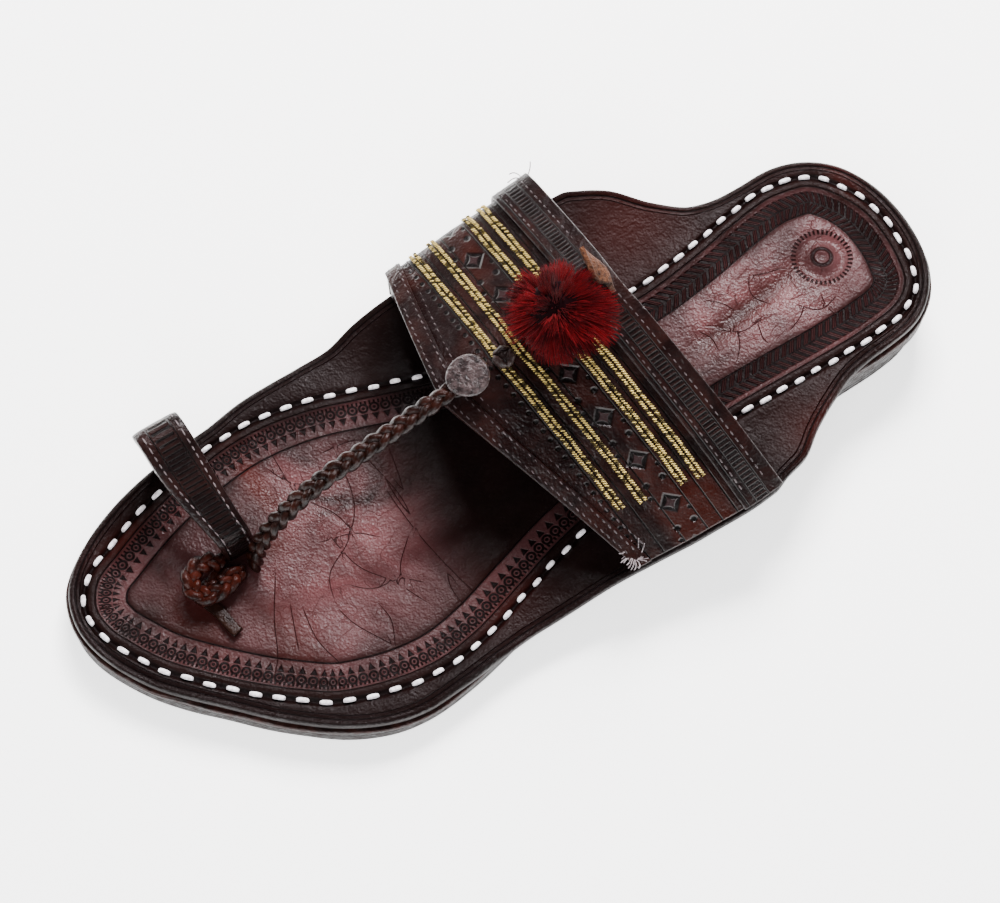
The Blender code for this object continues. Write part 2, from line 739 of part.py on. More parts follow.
def make_rosette(material):
    """The toothed leather disc under the pompom: a flat curve with an extrude."""
    curve = bpy.data.curves.new("rosette", "CURVE")
    curve.dimensions = "2D"
    curve.fill_mode = "BOTH"
    curve.extrude = ROSETTE_THICKNESS / 2
    line = curve.splines.new("POLY")
    count = ROSETTE_TEETH * 2
    line.points.add(count - 1)
    for i in range(count):
        radius = ROSETTE_RADIUS - (ROSETTE_TOOTH if i % 2 else 0.0)
        turn = 2 * math.pi * i / count
        line.points[i].co = (radius * math.cos(turn), radius * math.sin(turn), 0.0, 1.0)
    line.use_cyclic_u = True
    flat = bpy.data.objects.new("rosette_curve", curve)
    COLLECTION.objects.link(flat)
    bpy.context.view_layer.update()
    data = bpy.data.meshes.new_from_object(flat.evaluated_get(bpy.context.evaluated_depsgraph_get()))
    bpy.data.objects.remove(flat)
    work = bmesh.new()
    work.from_mesh(data)
    bmesh.ops.remove_doubles(work, verts=work.verts, dist=0.000005)
    bmesh.ops.recalc_face_normals(work, faces=work.faces)
    work.to_mesh(data)
    work.free()
    made = add_data("rosette", data, material)
    seat_on_ridge(made, ROSETTE_FROM_FRONT, rosette_lift() + ROSETTE_THICKNESS / 2)


def rosette_lift():
    """The rosette lies over the strip along the band's rear edge."""
    return BAND_THICKNESS + REAR_STRIP_THICKNESS + 2 * LAYER_GAP


def pompom_locks():
    """Directions of the pompom's locks, spread evenly over a ball by the golden angle."""
    k = np.arange(POMPOM_LOCK_COUNT) + 0.5
    z = 1 - 2 * k / POMPOM_LOCK_COUNT
    turn = math.pi * (3 - math.sqrt(5)) * k
    r = np.sqrt(1 - z * z)
    return np.column_stack([r * np.cos(turn), r * np.sin(turn), z])


def make_pompom(material):
    """The wool pompom: a flattened ball with locks raised on it."""
    work = bmesh.new()
    bmesh.ops.create_uvsphere(work, u_segments=36, v_segments=18, radius=1.0)
    locks = pompom_locks()
    for vert in work.verts:
        away = np.array(vert.co)
        near = np.arccos(np.clip(locks @ away, -1, 1))
        lock = np.exp(-((near / POMPOM_LOCK_SPREAD) ** 2)).max()
        reach = POMPOM_RADIUS + POMPOM_LOCK * lock
        vert.co = away * reach
        vert.co.z *= POMPOM_SQUASH
    data = bpy.data.meshes.new("pompom")
    work.to_mesh(data)
    work.free()
    made = add_data("pompom", data, material)
    tall = min(v.co.z for v in data.vertices)
    lift = rosette_lift() + ROSETTE_THICKNESS + LAYER_GAP - tall
    seat_on_ridge(made, ROSETTE_FROM_FRONT, lift)


def make_rear_tab(material):
    """The leather tab that stands up from the strip at the rear of the ridge."""
    width = band_width(np.array(0.0))
    base = BAND_THICKNESS + REAR_STRIP_THICKNESS + 2 * LAYER_GAP
    place, side, back, up = ridge_frame(width - TAB_FROM_REAR, base)
    turn = np.linspace(0, 1, 9)
    path_back = TAB_LEAN * np.sin(turn * math.pi)
    path_up = TAB_HEIGHT * turn
    half = TAB_WIDTH / 2 * (1 - TAB_TAPER * turn**1.5)
    grids = []
    for offset in (0.0, TAB_THICKNESS):
        rows = []
        for share in (-1.0, 0.0, 1.0):
            rows.append(
                place
                + np.outer(half * share, side)
                + np.outer(path_back + offset, back)
                + np.outer(path_up, up)
            )
        grids.append(np.stack(rows, axis=1))
    return closed_sheet("rear_tab", grids[0], grids[1], material)


def plaited_rings(path, half_width, half_height, plait, relief, sides):
    """Rings along a path whose radius rises over two sets of strands that cross."""
    count = len(path)
    ahead = np.gradient(path, axis=0)
    ahead /= np.linalg.norm(ahead, axis=1)[:, None]
    up = np.zeros_like(path)
    reference = np.array([0.0, -0.35, 1.0])
    for i in range(count):
        reference = reference - ahead[i] * (reference @ ahead[i])
        reference /= np.linalg.norm(reference)
        up[i] = reference
    side = np.cross(ahead, up)
    walked = np.concatenate([[0], np.cumsum(np.linalg.norm(np.diff(path, axis=0), axis=1))])
    turn = np.linspace(0, 2 * math.pi, sides, endpoint=False)[None, :]
    wave = 2 * math.pi * walked[:, None] / plait
    one, other = np.cos(2 * turn + wave), np.cos(2 * turn - wave)
    strand = 1 + relief * (np.maximum(one, other) - 0.5)
    wide = half_width[:, None] * strand * np.cos(turn)
    tall = half_height[:, None] * strand * np.sin(turn)
    return path[:, None, :] + wide[..., None] * side[:, None, :] + tall[..., None] * up[:, None, :]


def thong_path():
    """The thong's middle line, from over its hole in the insole to under the button."""
    hole_z = float(insole_top(THONG_HOLE_X, THONG_HOLE_Y)) + LAYER_GAP
    start = np.array([THONG_HOLE_X, THONG_HOLE_Y, hole_z])
    over = BAND_THICKNESS + FRONT_STRIP_THICKNESS + 2 * LAYER_GAP + THONG_HALF_HEIGHT * 1.12
    edge = ridge_frame(0.0003, over)[0]
    inside = ridge_frame(THONG_OVER_BAND, BAND_THICKNESS + FRONT_STRIP_THICKNESS + 2 * LAYER_GAP
                         + THONG_END_HALF_HEIGHT * 1.35)[0]
    approach = edge + np.array([0.0, -0.0035, -0.0008])
    points = []
    for back, rise in THONG_LINE:
        points.append((
            start[0] + (approach[0] - start[0]) * back,
            start[1] + (approach[1] - start[1]) * back,
            start[2] + (approach[2] - start[2]) * rise,
        ))
    points.append(tuple(edge * 0.5 + inside * 0.5 + np.array([0, 0, 0.0006])))
    points.append(tuple(inside))
    return smooth_path(points, THONG_RINGS)


def make_thong(material):
    """The braided thong, flattened where it slips under the button."""
    path = thong_path()
    share = np.linspace(0, 1, len(path))
    flat = np.clip((share - 0.865) / 0.075, 0, 1)
    flat = flat * flat * (3 - 2 * flat)
    width = np.full(len(path), THONG_HALF_WIDTH)
    height = THONG_HALF_HEIGHT + (THONG_END_HALF_HEIGHT - THONG_HALF_HEIGHT) * flat
    rings = plaited_rings(path, width, height, THONG_PLAIT, THONG_RELIEF, THONG_SIDES)
    floor = insole_top(rings[:, :, 0], rings[:, :, 1]) + LAYER_GAP
    near = rings[:, :, 1] < THONG_HOLE_Y + 0.01
    rings[:, :, 2] = np.where(near, np.maximum(rings[:, :, 2], floor), rings[:, :, 2])
    return closed_tube("thong", rings, material)


def make_toe_knot(material):
    """The hitch in front of the thong: a braided loop bent round on itself."""
    points = [
        (THONG_HOLE_X + x, THONG_HOLE_Y + y, float(insole_top(THONG_HOLE_X, THONG_HOLE_Y)) + z)
        for x, y, z in KNOT_LINE
    ]
    path = smooth_path(points, KNOT_RINGS)
    width = np.full(len(path), KNOT_HALF_WIDTH)
    height = np.full(len(path), KNOT_HALF_HEIGHT)
    rings = plaited_rings(path, width, height, THONG_PLAIT, THONG_RELIEF, KNOT_SIDES)
    floor = insole_top(rings[:, :, 0], rings[:, :, 1]) + LAYER_GAP
    rings[:, :, 2] = np.maximum(rings[:, :, 2], floor)
    return closed_tube("toe_knot", rings, material)


def make_tail(material):
    """The flat leather tail that slips out from under the toe knot, lying on the insole."""
    share = np.linspace(0, 1, 6)
    x = THONG_HOLE_X + TAIL_START[0] + TAIL_LENGTH * share
    y = THONG_HOLE_Y + TAIL_START[1] + TAIL_TURN * share
    grids = []
    for offset in (LAYER_GAP, LAYER_GAP + TAIL_THICKNESS):
        rows = []
        for side in (-0.5, 0.5):
            yy = y + TAIL_WIDTH * side
            rows.append(np.column_stack([x, yy, insole_top(x, yy) + offset]))
        grids.append(np.stack(rows, axis=1))
    return closed_sheet("tail", grids[0], grids[1], material)


def make_toe_loop(material):
    """The big toe loop: a flat strap that stands on the rim, bends over and runs to the thong."""
    reach = np.linspace(0, 1, LOOP_STEPS)
    across, rise, lean = smooth_table(LOOP_ARCH, reach).T
    x = LOOP_MEDIAL_X + (LOOP_THONG_X - LOOP_MEDIAL_X) * across
    y = LOOP_MEDIAL_Y + (LOOP_THONG_Y - LOOP_MEDIAL_Y) * reach - lean
    base = insole_top(x, y) + LAYER_GAP
    path = np.column_stack([x, y, base + LOOP_HEIGHT * rise])
    ahead = np.gradient(path, axis=0)
    ahead[:, 1] = 0
    ahead /= np.linalg.norm(ahead, axis=1)[:, None]
    out = np.column_stack([-ahead[:, 2], np.zeros(LOOP_STEPS), ahead[:, 0]])
    out[0], out[-1] = (-1.0, 0.0, 0.0), (1.0, 0.0, 0.0)
    run = np.array([LOOP_THONG_X - LOOP_MEDIAL_X, LOOP_THONG_Y - LOOP_MEDIAL_Y])
    run /= np.linalg.norm(run)
    wide = np.array([-run[1], run[0], 0.0])
    taper = np.clip((reach - 0.45) / 0.45, 0, 1)
    width = LOOP_WIDTH + (LOOP_THONG_WIDTH - LOOP_WIDTH) * taper * taper * (3 - 2 * taper)
    grids = []
    for offset in (0.0, LOOP_THICKNESS):
        rows = []
        for share in np.linspace(-0.5, 0.5, LOOP_ROWS):
            rows.append(path + out * offset + wide[None, :] * (width * share)[:, None])
        grids.append(np.stack(rows, axis=1))
    for grid in grids:
        floor = insole_top(grid[..., 0], grid[..., 1]) + LAYER_GAP
        grid[..., 2] = np.maximum(grid[..., 2], floor)
    return closed_sheet("toe_loop", grids[0], grids[1], material)


def centre_on_origin():
    """Moves every piece so that the origin is under the middle of the whole sandal."""
    pieces = list(COLLECTION.objects)
    points = [np.array([tuple(v.co) for v in piece.data.vertices]) for piece in pieces]
    low = np.min([p.min(0) for p in points], axis=0)
    high = np.max([p.max(0) for p in points], axis=0)
    middle = (low + high) / 2
    for piece, place in zip(pieces, points):
        place = place - (middle[0], middle[1], low[2])
        piece.data.vertices.foreach_set("co", place.ravel())
        piece.data.update()


def main():
    """Builds every piece of the sandal."""
    dark = new_material("dark_leather", (0.050, 0.022, 0.018), 0.50)
    footbed = new_material("footbed_leather", (0.130, 0.042, 0.032), 0.42)
    sole = new_material("sole_leather", (0.020, 0.013, 0.011), 0.60)
    braid = new_material("braid_leather", (0.110, 0.035, 0.018), 0.42)
    grey = new_material("button_leather", (0.090, 0.070, 0.066), 0.50)
    wool = new_material("red_wool", (0.330, 0.012, 0.010), 0.90)
    tan = new_material("tan_flesh_leather", (0.330, 0.170, 0.090), 0.85)
    make_outsole(sole)
    make_welt(sole)
    make_heel(sole)
    make_insole(footbed)
    make_band(dark)
    make_rear_strip(dark)
    make_front_strip(dark)
    make_button(grey)
    make_bead(grey)
    make_rosette(dark)
    make_pompom(wool)
    make_rear_tab(tan)
    make_thong(braid)
    make_toe_knot(braid)
    make_tail(braid)
    make_toe_loop(dark)
    centre_on_origin()


for leftover in list(bpy.data.objects):
    bpy.data.objects.remove(leftover)
COLLECTION = bpy.data.collections.new("kolhapuri_sandal")
bpy.context.scene.collection.children.link(COLLECTION)
main()
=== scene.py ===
"""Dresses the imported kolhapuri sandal: tooled footbed, stitched soles, instep band with gold
cords, braided thong, toe loop and wool pompom, on a pale floor under soft studio light."""

import math

import bmesh
import bpy
import numpy as np
from mathutils import Matrix, Vector


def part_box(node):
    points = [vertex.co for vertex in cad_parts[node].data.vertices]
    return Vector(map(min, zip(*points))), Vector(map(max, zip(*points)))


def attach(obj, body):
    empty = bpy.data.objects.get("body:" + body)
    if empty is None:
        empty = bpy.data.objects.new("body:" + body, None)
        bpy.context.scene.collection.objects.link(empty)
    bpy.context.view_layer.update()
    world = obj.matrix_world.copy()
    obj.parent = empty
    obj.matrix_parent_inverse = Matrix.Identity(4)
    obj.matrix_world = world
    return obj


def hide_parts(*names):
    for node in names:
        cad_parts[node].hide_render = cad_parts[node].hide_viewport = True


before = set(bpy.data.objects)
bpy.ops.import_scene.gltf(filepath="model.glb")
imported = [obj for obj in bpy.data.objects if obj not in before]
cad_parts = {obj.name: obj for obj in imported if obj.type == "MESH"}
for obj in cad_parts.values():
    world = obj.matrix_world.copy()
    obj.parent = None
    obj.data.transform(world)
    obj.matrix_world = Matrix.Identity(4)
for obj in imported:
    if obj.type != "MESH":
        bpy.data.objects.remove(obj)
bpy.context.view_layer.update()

bl_info = {
    "name": "Kolhapuri Sandal",
    "version": (1, 0, 0),
    "blender": (4, 5, 0),
    "location": "View3D > Sidebar > Sandal",
    "description": "Builds a hand stitched leather sandal round its packed frame",
    "category": "Object",
}

# Sizes of the frame's solids, in metres
SOLE_LENGTH = 0.2720
BALL_WIDTH = 0.1092
OUTSOLE_THICKNESS = 0.0052
WELT_THICKNESS = 0.0022
WELT_PROUD = 0.0008
INSOLE_THICKNESS = 0.0030
LAYER_GAP = 0.0003
TOE_SPRING = 0.0012
TOE_SPRING_LENGTH = 0.0280
SHANK_START = -0.0380
HEEL_HEIGHT = 0.0112
HEEL_LENGTH = 0.0565
HEEL_INSET_TOP = 0.0010
HEEL_INSET_FLOOR = 0.0026
EAR_FLARE_MEDIAL = 0.0310
EAR_FLARE_LATERAL = 0.0205
EAR_LIFT_MEDIAL = 0.0048
EAR_LIFT_LATERAL = 0.0016
EAR_CURL = 1.5
BAND_THICKNESS = 0.0030
BAND_EDGE_INSET = 0.0006
BAND_RIDGE_X = -0.0105
BAND_RIDGE_FRONT_Y = -0.0190
BAND_RIDGE_REAR_Y = 0.0410
BAND_RIDGE_FRONT_Z = 0.0460
BAND_RIDGE_REAR_Z = 0.0590
BAND_FOOT_LATERAL_FRONT_Y = 0.0075
BAND_FOOT_LATERAL_REAR_Y = 0.0545
BAND_FOOT_MEDIAL_FRONT_Y = -0.0055
BAND_FOOT_MEDIAL_REAR_Y = 0.0408
REAR_STRIP_WIDTH = 0.0127
REAR_STRIP_THICKNESS = 0.0014
FRONT_STRIP_RIDGE_WIDTH = 0.0066
FRONT_STRIP_FOOT_WIDTH = 0.0046
FRONT_STRIP_THICKNESS = 0.0009
THONG_HALF_HEIGHT = 0.0024
THONG_HOLE_X = -0.0095
THONG_HOLE_Y = -0.0830
THONG_OVER_BAND = 0.0056
THONG_END_HALF_HEIGHT = 0.0010
TAIL_WIDTH = 0.0036
TAIL_THICKNESS = 0.0014
TAIL_LENGTH = 0.0128
TAIL_TURN = 0.0030
TAIL_START = (0.0036, -0.0178)
LOOP_WIDTH = 0.0146
LOOP_THONG_WIDTH = 0.0102
LOOP_THICKNESS = 0.0028
LOOP_HEIGHT = 0.0235
LOOP_MEDIAL_X = -0.0490
LOOP_MEDIAL_Y = -0.0845
LOOP_THONG_X = -0.0166
LOOP_THONG_Y = -0.0842
POMPOM_PLACE = 0.0405

# Tooling: rows inside the stitch line, the stars' row from the band's rear edge, the heel stamp
RING_ROW = 0.0062
LEAF_ROW = 0.0085
BORDER_GROOVE = 0.0121
STAR_ROW = 0.0288
STAMP_X = -0.0009
STAMP_Y = 0.1073

SOLE_OUTLINE = (
    # along, across
    (0.0000, -0.160), (0.0080, -0.250), (0.0270, -0.318), (0.0590, -0.376), (0.0960, -0.420),
    (0.1320, -0.450), (0.1690, -0.471), (0.2060, -0.487), (0.2570, -0.499), (0.3000, -0.494),
    (0.3530, -0.467), (0.3970, -0.428), (0.4560, -0.379), (0.5370, -0.312), (0.6290, -0.264),
    (0.7020, -0.255), (0.7570, -0.270), (0.8120, -0.293), (0.8680, -0.310), (0.9120, -0.310),
    (0.9480, -0.278), (0.9770, -0.212), (0.9950, -0.110), (1.0000, 0.010), (0.9930, 0.130),
    (0.9730, 0.220), (0.9400, 0.282), (0.8960, 0.306), (0.8310, 0.312), (0.7570, 0.316),
    (0.6840, 0.318), (0.6290, 0.326), (0.5630, 0.350), (0.5000, 0.376), (0.4340, 0.414),
    (0.3710, 0.457), (0.3160, 0.489), (0.2650, 0.501), (0.2200, 0.480), (0.1770, 0.425),
    (0.1320, 0.336), (0.0960, 0.242), (0.0590, 0.145), (0.0300, 0.055), (0.0070, -0.060),
)

EAR_PLAN = (
    # along, medial flare, lateral flare, rim lift
    (0.0000, 0.000, 0.000, 0.00), (0.2300, 0.000, 0.000, 0.00), (0.2800, 0.060, 0.000, 0.00),
    (0.3400, 0.160, 0.050, 0.02), (0.3900, 0.310, 0.150, 0.12), (0.4300, 0.500, 0.290, 0.40),
    (0.4700, 0.645, 0.430, 0.74), (0.5000, 0.740, 0.530, 0.90), (0.5500, 0.860, 0.700, 1.00),
    (0.6100, 0.950, 0.890, 1.00), (0.6700, 1.000, 0.990, 0.96), (0.6950, 0.995, 0.975, 0.86),
    (0.7160, 0.915, 0.880, 0.72), (0.7420, 0.755, 0.790, 0.52), (0.7760, 0.395, 0.490, 0.22),
    (0.8120, 0.120, 0.240, 0.06), (0.8500, 0.020, 0.050, 0.00), (0.8800, 0.000, 0.000, 0.00),
    (1.0000, 0.000, 0.000, 0.00),
)

ARCH_LATERAL = (
    # reach, out, front rise, rear rise, sweep
    (0.00, 0.000, 1.000, 1.000, 0.00), (0.15, 0.160, 0.945, 0.945, 0.12),
    (0.35, 0.380, 0.765, 0.765, 0.33), (0.60, 0.640, 0.490, 0.500, 0.60),
    (0.80, 0.840, 0.245, 0.255, 0.81), (1.00, 1.000, 0.000, 0.000, 1.00),
)
ARCH_MEDIAL = (
    # reach, out, front rise, rear rise, sweep
    (0.00, 0.000, 1.000, 1.000, 0.00), (0.15, 0.170, 0.975, 0.985, 0.11),
    (0.35, 0.430, 0.880, 0.925, 0.32), (0.56, 0.760, 0.730, 0.835, 0.62),
    (0.66, 0.930, 0.635, 0.775, 0.80), (0.71, 0.985, 0.575, 0.725, 0.87),
    (0.77, 1.000, 0.470, 0.610, 0.92), (0.90, 1.000, 0.200, 0.265, 0.97),
    (1.00, 1.000, 0.000, 0.000, 1.00),
)
RIDGE_LINE = (
    # across, back, rise
    (0.00, 0.000, 0.00), (0.30, 0.300, 0.32), (0.65, 0.650, 0.70), (1.00, 1.000, 1.00),
)
LOOP_ARCH = (
    # reach, across, rise, lean
    (0.00, 0.000, 0.000, 0.0000), (0.12, -0.030, 0.330, 0.0016), (0.24, -0.060, 0.720, 0.0038),
    (0.31, -0.045, 0.930, 0.0050), (0.37, 0.050, 1.000, 0.0053), (0.50, 0.300, 0.880, 0.0050),
    (0.65, 0.620, 0.690, 0.0040), (0.78, 0.890, 0.510, 0.0026), (0.86, 0.990, 0.360, 0.0014),
    (1.00, 1.000, 0.000, 0.0000),
)
THONG_LINE = (
    # back, rise
    (0.000, 0.00), (0.012, 0.16), (0.050, 0.32), (0.130, 0.49), (0.250, 0.65), (0.400, 0.77),
    (0.560, 0.83), (0.760, 0.90), (1.000, 1.00),
)
KNOT_LINE = (
    # x, y, height
    (-0.0040, -0.0082, 0.0027), (-0.0051, -0.0115, 0.0056), (-0.0054, -0.0155, 0.0067),
    (-0.0033, -0.0191, 0.0062), (0.0008, -0.0198, 0.0053), (0.0037, -0.0173, 0.0048),
    (0.0038, -0.0133, 0.0046), (0.0026, -0.0090, 0.0040), (0.0008, -0.0054, 0.0028),
)

# The lace that runs through the hitch, from the thong's foot to the flat tail
HITCH_CORE = (
    # x, y, height
    (0.0014, -0.0040, 0.0016), (-0.0006, -0.0088, 0.0022), (-0.0012, -0.0128, 0.0022),
    (0.0008, -0.0165, 0.0018), (0.0036, -0.0185, 0.0010),
)

# The white stitch line, a closed run inside the sole's edge, seen from above in metres
STITCH_LINE = (
    # x, y
    (-0.0222, -0.1313), (-0.0309, -0.1255), (-0.0360, -0.1152), (-0.0404, -0.1046),
    (-0.0440, -0.0930), (-0.0472, -0.0800), (-0.0488, -0.0680), (-0.0484, -0.0560),
    (-0.0459, -0.0427), (-0.0419, -0.0307), (-0.0354, -0.0128), (-0.0285, 0.0080),
    (-0.0232, 0.0320), (-0.0217, 0.0553), (-0.0237, 0.0740), (-0.0265, 0.0880), (-0.0286, 0.1015),
    (-0.0283, 0.1093), (-0.0255, 0.1190), (-0.0179, 0.1256), (-0.0080, 0.1297), (0.0018, 0.1305),
    (0.0121, 0.1292), (0.0206, 0.1260), (0.0263, 0.1184), (0.0284, 0.1064), (0.0290, 0.0928),
    (0.0289, 0.0720), (0.0287, 0.0557), (0.0296, 0.0300), (0.0335, 0.0000), (0.0390, -0.0200),
    (0.0445, -0.0380), (0.0468, -0.0530), (0.0452, -0.0680), (0.0400, -0.0840), (0.0333, -0.0938),
    (0.0246, -0.1040), (0.0148, -0.1136), (0.0048, -0.1222), (-0.0050, -0.1278), (-0.0130, -0.1311),
)

# Walking creases of the footbed: short listed runs, seen from above in metres
CREASES = (
    ((-0.030, -0.044), (-0.012, -0.048), (-0.002, -0.056), (0.004, -0.066), (0.014, -0.070)),
    ((0.014, -0.070), (0.022, -0.068), (0.034, -0.062)),
    ((-0.006, -0.078), (0.008, -0.087), (0.018, -0.092), (0.024, -0.097)),
    ((-0.034, -0.064), (-0.026, -0.060), (-0.021, -0.052)),
    ((-0.008, -0.060), (0.006, -0.058), (0.016, -0.052), (0.028, -0.047)),
    ((0.008, -0.078), (0.020, -0.080), (0.031, -0.078)),
    ((-0.022, -0.038), (-0.006, -0.036), (0.008, -0.038)),
    ((0.002, 0.068), (0.007, 0.074), (0.006, 0.082)),
    ((-0.008, 0.086), (-0.002, 0.083), (0.004, 0.086)),
    ((0.008, 0.092), (0.013, 0.097), (0.012, 0.104)),
    ((-0.0384, -0.0603), (-0.0258, -0.0610), (-0.0200, -0.0614)),
    ((-0.0206, -0.0306), (-0.0123, -0.0326), (-0.0057, -0.0345)),
    ((-0.0117, -0.0385), (0.0050, -0.0381), (0.0178, -0.0368), (0.0293, -0.0348), (0.0357, -0.0327)),
    ((0.0209, -0.0372), (0.0265, -0.0392), (0.0334, -0.0390)),
    ((0.0057, -0.0804), (0.0137, -0.0837), (0.0205, -0.0864)),
    ((0.0190, -0.0593), (0.0259, -0.0590), (0.0338, -0.0625)),
    ((-0.0060, -0.0639), (-0.0029, -0.0534), (0.0025, -0.0474)),
    ((-0.0186, -0.0592), (-0.0107, -0.0548), (-0.0029, -0.0534)),
    ((0.0055, -0.0400), (0.0127, -0.0476), (0.0195, -0.0503)),
    ((0.0092, -0.0640), (0.0146, -0.0581), (0.0164, -0.0499), (0.0218, -0.0440)),
    ((-0.0297, -0.0492), (-0.0279, -0.0378), (-0.0223, -0.0319)),
    ((0.0025, 0.0732), (0.0091, 0.0713), (0.0142, 0.0670)),
    ((0.0053, 0.0796), (0.0118, 0.0776), (0.0147, 0.0780)),
    ((0.0088, 0.1001), (0.0136, 0.0993), (0.0182, 0.1003)),
    ((-0.0074, 0.0702), (-0.0038, 0.0738), (0.0002, 0.0759)),
    ((-0.0070, 0.0856), (-0.0053, 0.0904), (-0.0043, 0.0952)),
    ((0.0142, 0.0855), (0.0121, 0.0906), (0.0099, 0.0934)),
    ((-0.0002, 0.0630), (0.0038, 0.0651), (0.0085, 0.0643)),
)


def smooth_table(rows, at):
    """Monotone cubic reading of a table: the first column is the place, the rest are read."""
    table = np.asarray(rows, float)
    x, y = table[:, 0], table[:, 1:]
    slope = np.diff(y, axis=0) / np.diff(x)[:, None]
    total = slope[:-1] + slope[1:]
    inner = np.where(slope[:-1] * slope[1:] > 0,
                     2 * slope[:-1] * slope[1:] / np.where(total == 0, 1, total), 0.0)
    tangent = np.vstack([slope[:1], inner, slope[-1:]])
    at = np.clip(np.atleast_1d(np.asarray(at, float)), x[0], x[-1])
    i = np.clip(np.searchsorted(x, at, side="right") - 1, 0, len(x) - 2)
    h = (x[i + 1] - x[i])[:, None]
    t = ((at - x[i]) / (x[i + 1] - x[i]))[:, None]
    return ((2 * t**3 - 3 * t**2 + 1) * y[i] + (t**3 - 2 * t**2 + t) * h * tangent[i]
            + (3 * t**2 - 2 * t**3) * y[i + 1] + (t**3 - t**2) * h * tangent[i + 1])


def smooth_path(points, count):
    """Evenly spaced points on a Catmull-Rom curve through the given ones."""
    p = np.asarray(points, float)
    p = np.vstack([2 * p[0] - p[1], p, 2 * p[-1] - p[-2]])
    t = np.linspace(0, 1, 24, endpoint=False)[None, :, None]
    a, b, c, d = (q[:, None, :] for q in (p[:-3], p[1:-2], p[2:-1], p[3:]))
    fine = catmull(a, b, c, d, t).reshape(-1, p.shape[1])
    fine = np.vstack([fine, p[-2:-1]])
    walked = path_length(fine)
    even = np.linspace(0, walked[-1], count)
    return np.column_stack([np.interp(even, walked, fine[:, k]) for k in range(p.shape[1])])


def catmull(a, b, c, d, t):
    """The Catmull-Rom cubic between b and c."""
    return 0.5 * (2 * b + (c - a) * t + (2 * a - 5 * b + 4 * c - d) * t**2
                  + (3 * b - a - 3 * c + d) * t**3)


def unit(vectors):
    """The same directions with length 1."""
    return vectors / np.linalg.norm(vectors, axis=-1, keepdims=True)


def circle(count):
    """Angles once round, without the last that repeats the first."""
    return np.linspace(0, math.tau, count, endpoint=False)


def path_length(points):
    """Distance walked along a path at each of its points."""
    step = np.linalg.norm(np.diff(points, axis=0), axis=1)
    return np.concatenate([[0], np.cumsum(step)])


def closed_curve(points, steps):
    """A dense closed Catmull-Rom curve through a ring of points."""
    p = np.asarray(points, float)
    t = np.linspace(0, 1, steps, endpoint=False)[None, :, None]
    a, b, c, d = (q[:, None, :] for q in (np.roll(p, 1, 0), p, np.roll(p, -1, 0), np.roll(p, -2, 0)))
    return catmull(a, b, c, d, t).reshape(-1, p.shape[1])


def even_ring(ring, count):
    """The closed ring read again at count evenly spaced places, with its whole length."""
    closed = np.vstack([ring, ring[:1]])
    walked = path_length(closed)
    even = np.linspace(0, walked[-1], count, endpoint=False)
    return np.column_stack([np.interp(even, walked, closed[:, k]) for k in range(2)]), walked[-1]


def inset_ring(ring, inset):
    """The ring moved inwards by inset along its normal."""
    run = np.roll(ring, -1, 0) - np.roll(ring, 1, 0)
    normal = np.column_stack([run[:, 1], -run[:, 0]])
    normal = unit(normal)
    if ((ring - ring.mean(0)) * normal).sum() > 0:
        normal = -normal
    return ring + normal * inset


def ease(low, high, value):
    """Smooth step from 0 at low to 1 at high."""
    t = np.clip((np.asarray(value, float) - low) / (high - low), 0, 1)
    return t * t * (3 - 2 * t)


def bell(value, width):
    """A soft bump: exp(-(value / width)^2)."""
    return np.exp(-((np.asarray(value, float) / width) ** 2))


OUTLINE = closed_curve([(x * BALL_WIDTH, (y - 0.5) * SOLE_LENGTH) for y, x in SOLE_OUTLINE], 12)
TOE_INDEX, HEEL_INDEX = OUTLINE[:, 1].argmin(), OUTLINE[:, 1].argmax()
RING = np.roll(OUTLINE, -TOE_INDEX, 0)
TURN = (HEEL_INDEX - TOE_INDEX) % len(OUTLINE)
MEDIAL_SIDE = RING[: TURN + 1]
LATERAL_SIDE = np.vstack([RING[TURN:], RING[:1]])[::-1]


def medial_edge(y):
    """The sole's big toe side edge at a place along it."""
    return np.interp(y, MEDIAL_SIDE[:, 1], MEDIAL_SIDE[:, 0])


def lateral_edge(y):
    """The sole's little toe side edge at a place along it."""
    return np.interp(y, LATERAL_SIDE[:, 1], LATERAL_SIDE[:, 0])


def ear_reading(y):
    """Medial flare, lateral flare and share of the rim lift of the ears along the sole."""
    shape = np.shape(y)
    flare_m, flare_l, lift = smooth_table(EAR_PLAN, np.ravel(y) / SOLE_LENGTH + 0.5).T
    return ((flare_m * EAR_FLARE_MEDIAL).reshape(shape),
            (flare_l * EAR_FLARE_LATERAL).reshape(shape), lift.reshape(shape))


def insole_edges(y):
    """The insole's medial and lateral edges, ears and all."""
    flare_m, flare_l, _ = ear_reading(y)
    return medial_edge(y) - flare_m, lateral_edge(y) + flare_l


def floor_line(y):
    """Height of the outsole's underside: flat at the ball, up over the shank, flat at the heel."""
    heel_front = SOLE_LENGTH / 2 - HEEL_LENGTH
    toe_start = TOE_SPRING_LENGTH - SOLE_LENGTH / 2
    spring = np.clip((toe_start - y) / TOE_SPRING_LENGTH, 0, 1)
    return (HEEL_HEIGHT + LAYER_GAP) * ease(SHANK_START, heel_front, y) + TOE_SPRING * spring**2


def insole_base():
    """Height of the insole's underside over the outsole's underside."""
    return OUTSOLE_THICKNESS + WELT_THICKNESS + 2 * LAYER_GAP


